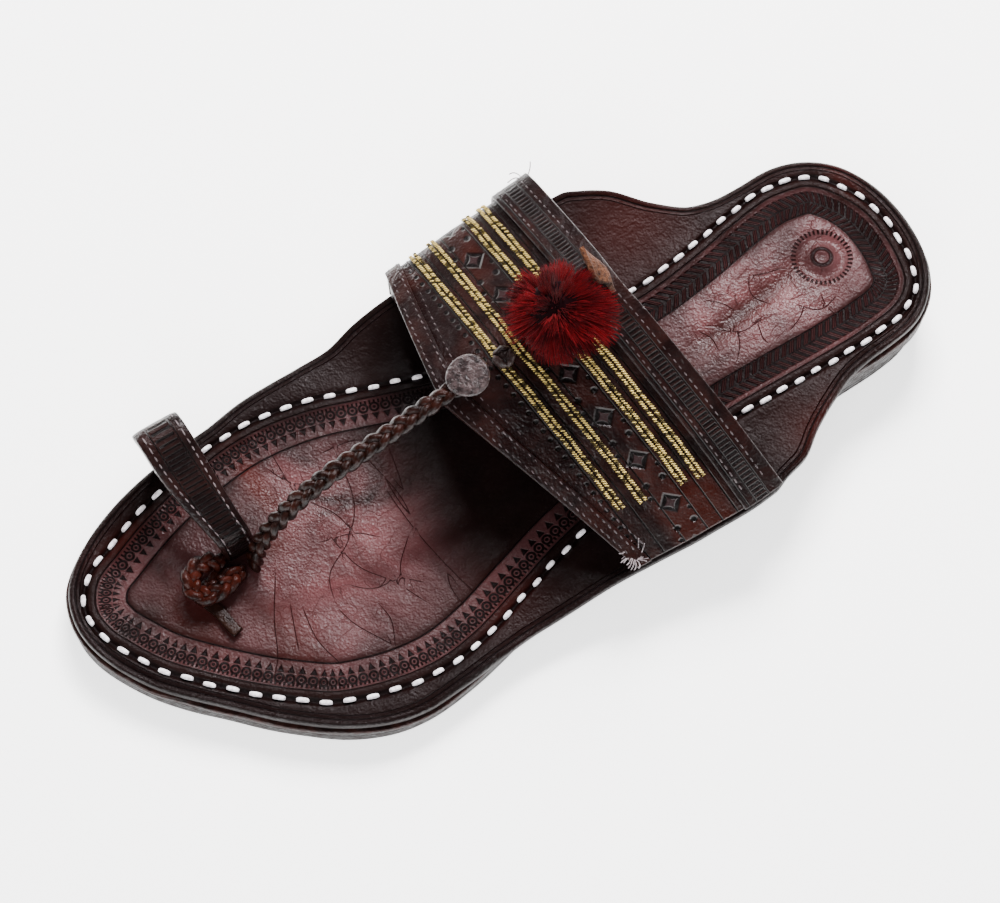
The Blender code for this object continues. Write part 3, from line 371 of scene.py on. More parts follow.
def insole_top(x, y):
    """The insole's top: the sole's line, its layers, and the ears curled up by share^1.5."""
    x, y = np.asarray(x, float), np.asarray(y, float)
    flare_m, flare_l, lift = ear_reading(y)
    past_m = np.clip((medial_edge(y) - x) / np.maximum(flare_m, 1e-5), 0, 1)
    past_l = np.clip((x - lateral_edge(y)) / np.maximum(flare_l, 1e-5), 0, 1)
    curl = lift * (EAR_LIFT_MEDIAL * past_m**EAR_CURL + EAR_LIFT_LATERAL * past_l**EAR_CURL)
    return floor_line(y) + insole_base() + INSOLE_THICKNESS + curl


def band_inner(reach, across):
    """The band's inner face: ridge, arch and feet, as shares of its rise and reach."""
    reach, across = np.broadcast_arrays(np.asarray(reach, float), np.asarray(across, float))
    shape = reach.shape
    reach, across = reach.ravel(), across.ravel()
    back, rise = smooth_table(RIDGE_LINE, across).T
    ridge_y = BAND_RIDGE_FRONT_Y + (BAND_RIDGE_REAR_Y - BAND_RIDGE_FRONT_Y) * back
    ridge_z = BAND_RIDGE_FRONT_Z + (BAND_RIDGE_REAR_Z - BAND_RIDGE_FRONT_Z) * rise - BAND_THICKNESS
    y_l = BAND_FOOT_LATERAL_FRONT_Y + (BAND_FOOT_LATERAL_REAR_Y - BAND_FOOT_LATERAL_FRONT_Y) * across
    y_m = BAND_FOOT_MEDIAL_FRONT_Y + (BAND_FOOT_MEDIAL_REAR_Y - BAND_FOOT_MEDIAL_FRONT_Y) * across
    x_l = insole_edges(y_l)[1] - BAND_EDGE_INSET - BAND_THICKNESS / 2
    x_m = insole_edges(y_m)[0] + BAND_EDGE_INSET
    lateral = np.stack([x_l, y_l, insole_top(x_l, y_l) + LAYER_GAP], -1)
    medial = np.stack([x_m + BAND_THICKNESS, y_m, insole_top(x_m, y_m) + LAYER_GAP], -1)
    side = (reach > 0)[:, None]
    foot = np.where(side, lateral, medial)
    shares = np.where(side, smooth_table(ARCH_LATERAL, abs(reach)), smooth_table(ARCH_MEDIAL, abs(reach)))
    out, front_up, rear_up, sweep = shares.T
    up = front_up + (rear_up - front_up) * across
    point = np.stack([BAND_RIDGE_X + (foot[:, 0] - BAND_RIDGE_X) * out,
                      ridge_y + (foot[:, 1] - ridge_y) * sweep,
                      foot[:, 2] + (ridge_z - foot[:, 2]) * up], -1)
    return point.reshape(*shape, 3)


def band_surface(reach, across, lift):
    """A point over the band: its inner face moved out along its normal by lift."""
    step = 0.004
    reach, across = np.broadcast_arrays(np.asarray(reach, float), np.asarray(across, float))
    along = (band_inner(np.clip(reach + step, -1, 1), across)
             - band_inner(np.clip(reach - step, -1, 1), across))
    back = band_inner(reach, np.clip(across + step, 0, 1)) - band_inner(reach, np.clip(across - step, 0, 1))
    normal = np.cross(along, back)
    normal = unit(normal)
    return band_inner(reach, across) + normal * np.asarray(lift, float)[..., None]


def band_width(reach):
    """Width of the band from its front to its rear edge, at a reach."""
    line = band_inner(np.asarray(reach, float)[..., None], np.linspace(0, 1, 9))
    return np.linalg.norm(np.diff(line, axis=-2), axis=-1).sum(-1)


def nearest_on_ring(ring, length, x, y):
    """Distance walked along a closed ring to the place nearest each point, and the distance to
    it, positive inside. The nearest sample comes first and its two segments refine it."""
    x, y = np.ravel(x), np.ravel(y)
    count = len(ring)
    step = length / count
    walked, gap = np.empty(len(x)), np.empty(len(x))
    for start in range(0, len(x), 4000):
        part = slice(start, start + 4000)
        q = np.column_stack([x[part], y[part]])
        i = ((q[:, None, :] - ring[None]) ** 2).sum(-1).argmin(1)
        best = np.full(len(q), np.inf)
        for shift in (-1, 0):
            a, b = ring[(i + shift) % count], ring[(i + shift + 1) % count]
            run = b - a
            t = np.clip(((q - a) * run).sum(-1) / (run**2).sum(-1), 0, 1)
            off = q - a - run * t[:, None]
            far = np.hypot(off[:, 0], off[:, 1])
            side = np.sign(run[:, 0] * off[:, 1] - run[:, 1] * off[:, 0])
            near = far < abs(best)
            best = np.where(near, far * np.where(side == 0, 1, side), best)
            walked[part] = np.where(near, ((i + shift) % count + t) * step, walked[part])
        gap[part] = best
    area = (ring[:, 0] * np.roll(ring[:, 1], -1) - np.roll(ring[:, 0], -1) * ring[:, 1]).sum()
    return walked, gap * np.sign(area)


CENTRE = np.zeros(3)
CENTRE[:2] = (np.array(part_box("outsole")[0][:2]) + np.array(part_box("outsole")[1][:2])) / 2
CENTRE[:2] -= (OUTLINE.min(0) + OUTLINE.max(0)) / 2


def linear(colour):
    """A hex sRGB colour as linear red, green, blue and alpha."""
    values = [int(colour[i:i + 2], 16) / 255 for i in (1, 3, 5)]
    return (*[v / 12.92 if v <= 0.04045 else ((v + 0.055) / 1.055) ** 2.4 for v in values], 1.0)


def new_object(name, points, faces, material):
    """A smooth mesh object that stands in the frame's axes."""
    data = bpy.data.meshes.new(name)
    data.vertices.add(len(points))
    data.vertices.foreach_set("co", np.asarray(points + CENTRE, np.float32).ravel())
    faces = np.asarray(faces, np.int32)
    sides = faces.shape[1]
    data.loops.add(faces.size)
    data.loops.foreach_set("vertex_index", faces.ravel())
    data.polygons.add(len(faces))
    data.polygons.foreach_set("loop_start", np.arange(0, faces.size, sides, dtype=np.int32))
    data.polygons.foreach_set("loop_total", np.full(len(faces), sides, np.int32))
    data.polygons.foreach_set("use_smooth", np.full(len(faces), True))
    data.update(calc_edges=True)
    data.validate()
    data.materials.append(material)
    made = bpy.data.objects.new(name, data)
    bpy.context.scene.collection.objects.link(made)
    return made


def put_piece(name, points, faces, material, slot, *nodes, maps=(), values=(), closed=False):
    """A finished piece: its mesh, UV maps and values, merged and turned out unless its shells are
    closed already, riding on the sandal with its finish and the solids it stands for."""
    piece = new_object(name, points, faces, material)
    for called, per_vertex in maps:
        set_uv(piece, called, per_vertex)
    for called, per_vertex in values:
        set_value(piece, called, per_vertex)
    if not closed:
        weld(piece)
    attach(piece, "root")
    if nodes:
        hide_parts(*nodes)


def closed_grid(grid):
    """The points and faces of a grid whose rows are rings."""
    return grid.reshape(-1, 3), grid_faces(*grid.shape[:2], wrap_columns=True)


def grid_faces(rows, columns, wrap_columns=False, flip=False):
    """Quads over a grid of points, closed along its rows where asked."""
    i = np.arange(rows - 1)
    j = np.arange(columns if wrap_columns else columns - 1)
    i, j = (g.ravel() for g in np.meshgrid(i, j, indexing="ij"))
    k, m = i + 1, (j + 1) % columns
    quads = np.column_stack([i * columns + j, i * columns + m, k * columns + m, k * columns + j])
    return quads[:, ::-1] if flip else quads


def set_uv(piece, name, per_vertex):
    """A UV map from a pair of values at each vertex."""
    data = piece.data
    layer = data.uv_layers.new(name=name)
    index = np.empty(len(data.loops), np.int32)
    data.loops.foreach_get("vertex_index", index)
    layer.data.foreach_set("uv", np.asarray(per_vertex, np.float32)[index].ravel())


def set_value(piece, name, per_vertex):
    """A number at each vertex, read by the materials as an attribute."""
    layer = piece.data.attributes.new(name, "FLOAT", "POINT")
    layer.data.foreach_set("value", np.asarray(per_vertex, np.float32))


def value_noise(x, y, size, seed):
    """Smooth noise of a chosen size, from hashed lattice corners."""
    x, y = np.asarray(x, float) / size, np.asarray(y, float) / size
    i, j = np.floor(x), np.floor(y)
    u, v = x - i, y - j
    u, v = u * u * (3 - 2 * u), v * v * (3 - 2 * v)

    def corner(a, b):
        h = np.sin(a * 127.1 + b * 311.7 + seed * 74.7) * 43758.5453
        return h - np.floor(h)

    return ((corner(i, j) * (1 - u) + corner(i + 1, j) * u) * (1 - v)
            + (corner(i, j + 1) * (1 - u) + corner(i + 1, j + 1) * u) * v) * 2 - 1


def set_inputs(tree, node, inputs):
    """Sets or links a node's inputs by name or number."""
    for key, value in dict(inputs).items():
        if isinstance(value, bpy.types.NodeSocket):
            tree.links.new(value, node.inputs[key])
        else:
            node.inputs[key].default_value = value


def add_node(tree, kind, inputs=(), **settings):
    """Adds a node with its settings and links."""
    made = tree.nodes.new(kind)
    for key, value in settings.items():
        setattr(made, key, value)
    set_inputs(tree, made, inputs)
    return made


def line_mask(tree, value, centre, half, soft=0.00012):
    """1 where value lies within half of centre, softly 0 outside: a tooled line."""
    off = add_node(tree, "ShaderNodeMath", {0: value, 1: centre}, operation="SUBTRACT")
    size = add_node(tree, "ShaderNodeMath", {0: off.outputs[0]}, operation="ABSOLUTE")
    return add_node(tree, "ShaderNodeMapRange",
                    {"Value": size.outputs[0], "From Min": half + soft, "From Max": max(half - soft, 0.0)},
                    interpolation_type="SMOOTHSTEP").outputs[0]


def strongest(tree, masks):
    """The greatest of several masks."""
    best = masks[0]
    for mask in masks[1:]:
        best = add_node(tree, "ShaderNodeMath", {0: best, 1: mask}, operation="MAXIMUM").outputs[0]
    return best


def overlap(tree, *masks):
    """The product of several masks: 1 only where all of them are."""
    shared = masks[0]
    for mask in masks[1:]:
        shared = add_node(tree, "ShaderNodeMath", {0: shared, 1: mask}, operation="MULTIPLY").outputs[0]
    return shared


def repeat(tree, value, pitch, shift=0.0):
    """Distance along a run from the middle of each repeat, from -pitch/2 to pitch/2."""
    moved = add_node(tree, "ShaderNodeMath", {0: value, 1: shift}, operation="ADD")
    return add_node(tree, "ShaderNodeMath", {0: moved.outputs[0], 1: pitch / 2, 2: -pitch / 2},
                    operation="WRAP").outputs[0]


def distance_from(tree, one, other, row=0.0):
    """Distance of a pair of coordinates from the point (0, row)."""
    pair = add_node(tree, "ShaderNodeCombineXYZ", {0: one, 1: other})
    return add_node(tree, "ShaderNodeVectorMath", {0: pair.outputs[0], 1: (0.0, row, 0.0)},
                    operation="DISTANCE").outputs[1]


def coats(tree, colour, *layers):
    """Dye laid on in order: each layer is a mask and the colour that shows where the mask is 1."""
    for mask, over in layers:
        mixed = add_node(tree, "ShaderNodeMix", {0: mask, 6: colour, 7: over}, data_type="RGBA")
        colour = mixed.outputs[2]
    return colour


def blank_material(name):
    """A new material with only its Principled shader and output."""
    made = bpy.data.materials.new(name)
    made.use_nodes = True
    return made, made.node_tree, made.node_tree.nodes["Principled BSDF"]


def object_place(tree):
    """Object coordinates, in metres from the sandal's origin."""
    return add_node(tree, "ShaderNodeTexCoord").outputs["Object"]


def cloudy(tree, size, low, high, detail=3.0, distortion=0.0):
    """Noise of a size in metres, stretched between two levels to a 0 to 1 mask."""
    noise = add_node(tree, "ShaderNodeTexNoise",
                     {"Vector": object_place(tree), "Scale": 1 / size, "Detail": detail,
                      "Distortion": distortion})
    return add_node(tree, "ShaderNodeMapRange",
                    {"Value": noise.outputs[0], "From Min": low, "From Max": high}).outputs[0]


def leather_height(tree, pore, wrinkle, wrinkle_share):
    """Grain of tanned hide: rounded cells one pore apart, and soft wrinkles."""
    cells = add_node(tree, "ShaderNodeTexVoronoi",
                     {"Vector": object_place(tree), "Scale": 1 / pore, "Randomness": 1.0},
                     feature="SMOOTH_F1")
    folds = cloudy(tree, wrinkle, 0.3, 0.7, detail=5.0, distortion=0.6)
    part = add_node(tree, "ShaderNodeMath", {0: folds, 1: wrinkle_share}, operation="MULTIPLY")
    return add_node(tree, "ShaderNodeMath", {0: cells.outputs["Distance"], 1: part.outputs[0]},
                    operation="ADD").outputs[0]


def lowered(tree, height, mask, depth):
    """A height with a pressed mark: less depth where the mask is 1."""
    cut = add_node(tree, "ShaderNodeMath", {0: mask, 1: depth}, operation="MULTIPLY")
    return add_node(tree, "ShaderNodeMath", {0: height, 1: cut.outputs[0]}, operation="SUBTRACT").outputs[0]


def bump_into(tree, shader, height, distance, strength=1.0):
    """Drives the shader's normal with a height in units of distance."""
    bump = add_node(tree, "ShaderNodeBump", {"Height": height, "Distance": distance, "Strength": strength})
    set_inputs(tree, shader, {"Normal": bump.outputs[0], "Coat Normal": bump.outputs[0]})


def rough_into(tree, shader, mask, low, high):
    """Roughness from low to high with the mask."""
    spread = add_node(tree, "ShaderNodeMapRange", {"Value": mask, "To Min": low, "To Max": high})
    set_inputs(tree, shader, {"Roughness": spread.outputs[0]})


def tooled_footbed(dark, worn, deep):
    """Oiled vegetable-tanned cow hide, tooled and hand dyed: a faded, crazed middle, a dark
    pressed border, and a soft oily shine that breaks up over the worn ground."""
    made, tree, shader = blank_material("oiled_tooled_footbed_hide")
    border = add_node(tree, "ShaderNodeUVMap", uv_map="border")
    split = add_node(tree, "ShaderNodeSeparateXYZ", {0: border.outputs[0]})
    along, inside = split.outputs[0], split.outputs[1]
    rim_map = add_node(tree, "ShaderNodeUVMap", uv_map="rim")
    rim_split = add_node(tree, "ShaderNodeSeparateXYZ", {0: rim_map.outputs[0]})
    rim, crease = rim_split.outputs[0], rim_split.outputs[1]
    place = add_node(tree, "ShaderNodeSeparateXYZ", {0: object_place(tree)})
    heel = add_node(tree, "ShaderNodeMapRange",
                    {"Value": place.outputs[1], "From Min": 0.010, "From Max": 0.014}).outputs[0]
    toe = add_node(tree, "ShaderNodeMapRange", {"Value": heel, "To Min": 1.0, "To Max": 0.0}).outputs[0]
    # Toe half: a row of small rings, and teeth that point at the middle of the sole
    step = repeat(tree, along, 0.0033)
    reach = distance_from(tree, step, inside, RING_ROW)
    ring = line_mask(tree, reach, 0.00122, 0.00034)
    eye = line_mask(tree, reach, 0.0, 0.00048)
    half = add_node(tree, "ShaderNodeMapRange",
                    {"Value": inside, "From Min": 0.0082, "From Max": 0.0106,
                     "To Min": 0.0012, "To Max": 0.0}).outputs[0]
    size = add_node(tree, "ShaderNodeMath", {0: step}, operation="ABSOLUTE").outputs[0]
    spare = add_node(tree, "ShaderNodeMath", {0: half, 1: size}, operation="SUBTRACT").outputs[0]
    tooth = add_node(tree, "ShaderNodeMapRange",
                     {"Value": spare, "From Min": 0.0, "From Max": 0.00030}).outputs[0]
    tooth = overlap(tree, tooth, line_mask(tree, inside, 0.0094, 0.0013))
    fine = line_mask(tree, repeat(tree, along, 0.0013), 0.0, 0.00030)
    fringe = overlap(tree, fine, line_mask(tree, inside, 0.0046, 0.0006))
    toe_marks = overlap(tree, toe, strongest(tree, [ring, eye, tooth, fringe]))
    # Heel half: leaves pressed side by side, each a slanted pair of blades
    off = add_node(tree, "ShaderNodeMath", {0: inside, 1: LEAF_ROW}, operation="SUBTRACT")
    bend = add_node(tree, "ShaderNodeMath", {0: off.outputs[0]}, operation="ABSOLUTE")
    slant = add_node(tree, "ShaderNodeMath", {0: bend.outputs[0], 1: 0.75}, operation="MULTIPLY")
    lean = add_node(tree, "ShaderNodeMath", {0: along, 1: slant.outputs[0]}, operation="ADD").outputs[0]
    blade = line_mask(tree, repeat(tree, lean, 0.0026), 0.0, 0.00074, 0.0003)
    vein = line_mask(tree, repeat(tree, lean, 0.0013), 0.0, 0.00016)
    leaves = strongest(tree, [blade, vein, line_mask(tree, inside, LEAF_ROW, 0.0003)])
    heel_marks = overlap(tree, heel, leaves, line_mask(tree, inside, LEAF_ROW, 0.0036, 0.0003))
    grooves = strongest(tree, [line_mask(tree, inside, 0.0032, 0.00018),
                               line_mask(tree, inside, BORDER_GROOVE, 0.00024),
                               line_mask(tree, rim, 0.0020, 0.00022), line_mask(tree, rim, 0.0033, 0.00012)])
    stitch_bed = line_mask(tree, inside, 0.0, 0.0007, 0.0006)
    marks = strongest(tree, [toe_marks, heel_marks, grooves, stitch_bed])
    # Heel stamp: a toothed ring round a small ring
    centre = add_node(tree, "ShaderNodeVectorMath",
                      {0: object_place(tree),
                       1: (STAMP_X + float(CENTRE[0]), STAMP_Y + float(CENTRE[1]), 0.0)},
                      operation="SUBTRACT")
    parts = add_node(tree, "ShaderNodeSeparateXYZ", {0: centre.outputs[0]})
    far = distance_from(tree, parts.outputs[0], parts.outputs[1])
    angle = add_node(tree, "ShaderNodeMath", {0: parts.outputs[1], 1: parts.outputs[0]}, operation="ARCTAN2")
    teeth = line_mask(tree, repeat(tree, angle.outputs[0], math.tau / 40), 0.0, 0.035, 0.012)
    stamp = strongest(tree, [overlap(tree, teeth, line_mask(tree, far, 0.0084, 0.0007)),
                             line_mask(tree, far, 0.0028, 0.00060, 0.0003)])
    near = add_node(tree, "ShaderNodeAttribute", attribute_name="crease_near").outputs["Fac"]
    crack = overlap(tree, near, line_mask(tree, crease, 0.0, 0.00012, 0.00010))
    # Fine crazing of the dry, worn ground
    wander = add_node(tree, "ShaderNodeTexNoise",
                      {"Vector": object_place(tree), "Scale": 1 / 0.0040, "Detail": 4.0})
    shift = add_node(tree, "ShaderNodeVectorMath", {0: wander.outputs["Color"], 1: (0.0042, 0.0042, 0.0)},
                     operation="MULTIPLY")
    warped = add_node(tree, "ShaderNodeVectorMath", {0: object_place(tree), 1: shift.outputs[0]},
                      operation="ADD")
    long_way = add_node(tree, "ShaderNodeMapping", {"Vector": warped.outputs[0], "Scale": (1.0, 0.55, 1.0)})
    cells = add_node(tree, "ShaderNodeTexVoronoi", {"Vector": long_way.outputs[0], "Scale": 1 / 0.0046},
                     feature="DISTANCE_TO_EDGE")
    craze = add_node(tree, "ShaderNodeMapRange",
                     {"Value": cells.outputs["Distance"], "From Min": 0.030, "From Max": 0.0}).outputs[0]
    craze = overlap(tree, craze, cloudy(tree, 0.006, 0.45, 0.58, detail=4.0))
    # The faded value is worn ground at the ball, heel and rim, and on the tooled border a painted highlight;
    # it also sets the coat
    fade_and_sheen = add_node(tree, "ShaderNodeAttribute", attribute_name="faded").outputs["Fac"]
    # Oxblood stains from the spots, and dark red painted shade in the heel seat's fold
    red = add_node(tree, "ShaderNodeAttribute", attribute_name="oxblood_and_fold_shade").outputs["Fac"]
    shadow_and_dye = add_node(tree, "ShaderNodeAttribute", attribute_name="darkened").outputs["Fac"]
    patchy = overlap(tree, fade_and_sheen, cloudy(tree, 0.022, 0.30, 0.68, detail=6.0, distortion=0.8))
    dye = cloudy(tree, 0.016, 0.35, 0.70, detail=5.0)
    worn_craze = overlap(tree, craze, fade_and_sheen)
    # The darkened value is painted shadow under and around the band, by the toe hitch and in the heel seat's
    # fold, and dark dye at the toe rim, the tooled border and the heel stamp
    colour = coats(tree, dark, (dye, deep), (patchy, worn), (red, linear("#380e09")),
                   (worn_craze, linear("#2c0f0e")), (shadow_and_dye, linear("#080303")), (marks, linear("#080303")),
                   (stamp, linear("#120606")), (crack, linear("#140606")))
    height = leather_height(tree, 0.0007, 0.0026, 0.8)
    height = lowered(tree, height, strongest(tree, [marks, stamp]), 4.0)
    height = lowered(tree, height, strongest(tree, [crack, worn_craze]), 0.9)
    bump_into(tree, shader, height, 0.00024, 0.68)
    uneven = add_node(tree, "ShaderNodeMapRange", {"Value": cloudy(tree, 0.009, 0.3, 0.7, detail=6.0),
                                                   "To Min": 0.40, "To Max": 0.66})
    polish = add_node(tree, "ShaderNodeMath", {0: fade_and_sheen, 1: 0.19}, operation="MULTIPLY")
    rough = add_node(tree, "ShaderNodeMath", {0: uneven.outputs[0], 1: polish.outputs[0]},
                     operation="SUBTRACT")
    plain = add_node(tree, "ShaderNodeMath", {0: 1.0, 1: strongest(tree, [marks, stamp, crack])},
                     operation="SUBTRACT")
    wax = add_node(tree, "ShaderNodeMapRange", {"Value": fade_and_sheen, "To Min": 0.16, "To Max": 0.95}).outputs[0]
    set_inputs(tree, shader, {"Base Color": colour, "Roughness": rough.outputs[0],
                              "Coat Weight": overlap(tree, wax, plain.outputs[0]),
                              "Specular IOR Level": 0.18, "Coat Roughness": 0.34})
    return made


def edge_hide(name, base, other, rough_low, rough_high):
    """Cut and burnished sole leather: nearly black dye over pressed fibres in thin layers, with
    rubbed brown edges."""
    made, tree, shader = blank_material(name)
    place = add_node(tree, "ShaderNodeSeparateXYZ", {0: object_place(tree)})
    stack = line_mask(tree, repeat(tree, place.outputs[2], 0.0013), 0.0, 0.00012, 0.0002)
    fibre = cloudy(tree, 0.0022, 0.35, 0.7, detail=6.0)
    grime = overlap(tree, stack, cloudy(tree, 0.010, 0.45, 0.6))
    colour = coats(tree, base, (fibre, other), (grime, linear("#0c0808")))
    height = lowered(tree, leather_height(tree, 0.0009, 0.005, 2.0), stack, 0.8)
    bump_into(tree, shader, height, 0.00022, 0.9)
    rough_into(tree, shader, fibre, rough_low, rough_high)
    set_inputs(tree, shader, {"Base Color": colour, "Specular IOR Level": 0.3})
    return made


def band_hide(name, base, light, red, marks=None):
    """Dark dyed upper leather, satin from handling, with browner rubbed places."""
    made, tree, shader = blank_material(name)
    uv = add_node(tree, "ShaderNodeUVMap", uv_map="span")
    split = add_node(tree, "ShaderNodeSeparateXYZ", {0: uv.outputs[0]})
    along, rear = split.outputs[0], split.outputs[1]
    rub = cloudy(tree, 0.011, 0.42, 0.72, detail=6.0, distortion=0.5)
    middle = overlap(tree, cloudy(tree, 0.020, 0.40, 0.62), line_mask(tree, rear, 0.0285, 0.0040, 0.002))
    foot = add_node(tree, "ShaderNodeMapRange",
                    {"Value": along, "From Min": 0.054, "From Max": 0.062}).outputs[0]
    foot = overlap(tree, foot, line_mask(tree, rear, 0.024, 0.010, 0.003))
    colour = coats(tree, base, (rub, light), (middle, red), (foot, red))
    pressed, raised = [], []
    if marks:
        pressed, raised = marks(tree, along, rear)
        colour = coats(tree, colour, (strongest(tree, pressed), linear("#050202")))
        if raised:
            colour = coats(tree, colour, (strongest(tree, raised), linear("#241718")))
    height = leather_height(tree, 0.0007, 0.004, 1.4)
    if pressed:
        height = lowered(tree, height, strongest(tree, pressed), 3.2)
    if raised:
        height = lowered(tree, height, strongest(tree, raised), -2.6)
    bump_into(tree, shader, height, 0.00018, 0.85)
    rough_into(tree, shader, cloudy(tree, 0.006, 0.3, 0.7, detail=5.0), 0.30, 0.52)
    set_inputs(tree, shader, {"Base Color": colour, "Specular IOR Level": 0.28, "Coat Weight": 0.28,
                              "Coat Roughness": 0.26})
    return made


def panel_marks(tree, along, rear):
    """Punched stars in round holes, pairs of pinholes between them, and a row of dots."""
    pitch, start = 0.0160, 0.002
    step = repeat(tree, along, pitch, start)
    off = add_node(tree, "ShaderNodeMath", {0: rear, 1: STAR_ROW}, operation="SUBTRACT").outputs[0]
    aside = add_node(tree, "ShaderNodeMath", {0: step}, operation="ABSOLUTE").outputs[0]
    away = add_node(tree, "ShaderNodeMath", {0: off}, operation="ABSOLUTE").outputs[0]
    sum_of = add_node(tree, "ShaderNodeMath", {0: aside, 1: away}, operation="ADD").outputs[0]
    hole = add_node(tree, "ShaderNodeMapRange",
                    {"Value": sum_of, "From Min": 0.0040, "From Max": 0.0032}).outputs[0]
    root_a = add_node(tree, "ShaderNodeMath", {0: aside, 1: 0.62}, operation="POWER")
    root_b = add_node(tree, "ShaderNodeMath", {0: away, 1: 0.62}, operation="POWER")
    total = add_node(tree, "ShaderNodeMath", {0: root_a.outputs[0], 1: root_b.outputs[0]}, operation="ADD")
    star = add_node(tree, "ShaderNodeMapRange",
                    {"Value": total.outputs[0], "From Min": 0.0262, "From Max": 0.0222}).outputs[0]
    between = repeat(tree, along, pitch, start + pitch / 2)
    pin = line_mask(tree, distance_from(tree, between, away, 0.0027), 0.0, 0.0010, 0.0003)
    dots = [line_mask(tree, distance_from(tree, repeat(tree, along, wide, shift), rear, line),
                      0.0, 0.0007, 0.0002)
            for wide, shift, line in ((pitch, start + pitch / 4, STAR_ROW + 0.0038),
                                      (pitch, start - pitch / 4, STAR_ROW - 0.0038),
                                      (0.0034, 0.0, 0.0445))]
    seams = [line_mask(tree, rear, line, 0.00022)
             for line in (0.0145, 0.0195, 0.0245, 0.0318, 0.0385, 0.0430)]
    return [hole, pin, *dots, *seams], [star]


def ladder_marks(tree, along, rear):
    """A ladder of short pressed rungs between two fine lines."""
    rung = overlap(tree, line_mask(tree, repeat(tree, along, 0.0014), 0.0, 0.00036, 0.0001),
                   line_mask(tree, rear, 0.0068, 0.0017, 0.0001))
    return [rung, line_mask(tree, rear, 0.0047, 0.00018), line_mask(tree, rear, 0.0089, 0.00018),
            line_mask(tree, rear, 0.0113, 0.00022)], []


def loop_marks(tree, along, rear):
    """The toe loop's pressed middle: rungs between two lines."""
    rung = overlap(tree, line_mask(tree, repeat(tree, along, 0.0015), 0.0, 0.00030, 0.0001),
                   line_mask(tree, rear, 0.0, 0.0030, 0.0002))
    return [rung, line_mask(tree, rear, 0.0036, 0.00016), line_mask(tree, rear, -0.0036, 0.00016)], []


def flesh_hide():
    """Undyed flesh side: pale tan, matte, with short raised fibres."""
    made, tree, shader = blank_material("undyed_flesh_side_hide")
    colour = coats(tree, linear("#5c3824"), (cloudy(tree, 0.0016, 0.35, 0.7, detail=6.0), linear("#1b0d08")))
    bump_into(tree, shader, leather_height(tree, 0.0005, 0.002, 2.5), 0.00030, 1.0)
    set_inputs(tree, shader, {"Base Color": colour, "Roughness": 0.85})
    return made


def braid_hide(name, base, light):
    """Thin oiled leather lace, shiny, with painted shade in its grooves and painted light and rubbed wear on
    each strand.
    """
    made, tree, shader = blank_material(name)
    # The crown value is painted light on each strand's top and where it rides over, painted shade where it
    # dips under; the cloudy part is rubbed wear
    worn = add_node(tree, "ShaderNodeAttribute", attribute_name="crown").outputs["Fac"]
    rub = overlap(tree, worn, cloudy(tree, 0.004, 0.30, 0.62, detail=5.0))
    bump_into(tree, shader, leather_height(tree, 0.0005, 0.002, 1.5), 0.00012, 0.8)
    set_inputs(tree, shader, {"Base Color": coats(tree, base, (rub, light)), "Roughness": 0.36,
                              "Specular IOR Level": 0.3, "Coat Weight": 0.15, "Coat Roughness": 0.25})
    return made


def cotton_thread(name, colour, shade):
    """Waxed cotton thread: twisted plies, soft and slightly fuzzy."""
    made, tree, shader = blank_material(name)
    mixed = coats(tree, colour, (cloudy(tree, 0.0010, 0.35, 0.7), shade))
    bump_into(tree, shader, cloudy(tree, 0.0004, 0.2, 0.8), 0.00015, 0.8)
    set_inputs(tree, shader, {"Base Color": mixed, "Roughness": 0.65, "Sheen Weight": 0.25})
    return made


def gold_thread():
    """Zari: gilt foil wound round a cotton core, with painted glitter flecks and painted shade where plies
    dip under.
    """
    made, tree, shader = blank_material("gilt_zari_thread")
    worn = add_node(tree, "ShaderNodeAttribute", attribute_name="glitter_and_shade").outputs["Fac"]
    colour = coats(tree, linear("#ecd07e"), (worn, linear("#100803")))
    set_inputs(tree, shader, {"Base Color": colour, "Metallic": 0.55, "Roughness": 0.26})
    return made


def wool_yarn():
    """Combed wool yarn: deep red and matte, darker at the roots as painted shade, lighter at the tips as
    painted light.
    """
    made, tree, shader = blank_material("combed_red_wool")
    shade = add_node(tree, "ShaderNodeAttribute", attribute_name="strand_tone_and_shade").outputs["Fac"]
    colour = coats(tree, linear("#0e0103"), (shade, linear("#6c0a10")))
    set_inputs(tree, shader, {"Base Color": colour, "Roughness": 0.9, "Specular IOR Level": 0.15,
                              "Sheen Weight": 0.02, "Sheen Roughness": 0.4})
    return made


def waxed_button():
    """Waxed grey-brown hide, pressed flat and scuffed shiny."""
    made, tree, shader = blank_material("waxed_button_hide")
    colour = coats(tree, linear("#150e0e"), (cloudy(tree, 0.0018, 0.35, 0.68, detail=6.0), linear("#423636")))
    bump_into(tree, shader, leather_height(tree, 0.0007, 0.002, 2.0), 0.00020, 0.9)
    set_inputs(tree, shader, {"Base Color": colour, "Roughness": 0.32, "Coat Weight": 0.7,
                              "Coat Roughness": 0.22})
    return made


def seamless_paper(colour):
    """Matt white background paper, plain and a little lit from within."""
    made, tree, shader = blank_material("matt_seamless_paper")
    set_inputs(tree, shader, {"Base Color": tuple((one + 1.0) / 2 for one in colour[:3]) + (1.0,),
                              "Roughness": 0.95, "Specular IOR Level": 0.1,
                              "Emission Color": linear("#ffffff"), "Emission Strength": 1.6})
    return made


def layer_ring(medial, lateral, ends, count):
    """A sole layer's closed edge: matching places on both sides, close together at the ends."""
    turn = np.linspace(0, math.pi, count)
    y = (ends[0] + ends[1]) / 2 - (ends[1] - ends[0]) / 2 * np.cos(turn)
    left = np.column_stack([medial(y), y])
    right = np.column_stack([lateral(y), y])
    ring = np.vstack([left, right[-2:0:-1]])
    inner = np.clip(y, ends[0] + (ends[1] - ends[0]) * 0.13, ends[1] - (ends[1] - ends[0]) * 0.10)
    middle = np.column_stack([(medial(inner) + lateral(inner)) / 2, inner])
    return ring, np.vstack([middle, middle[-2:0:-1]])


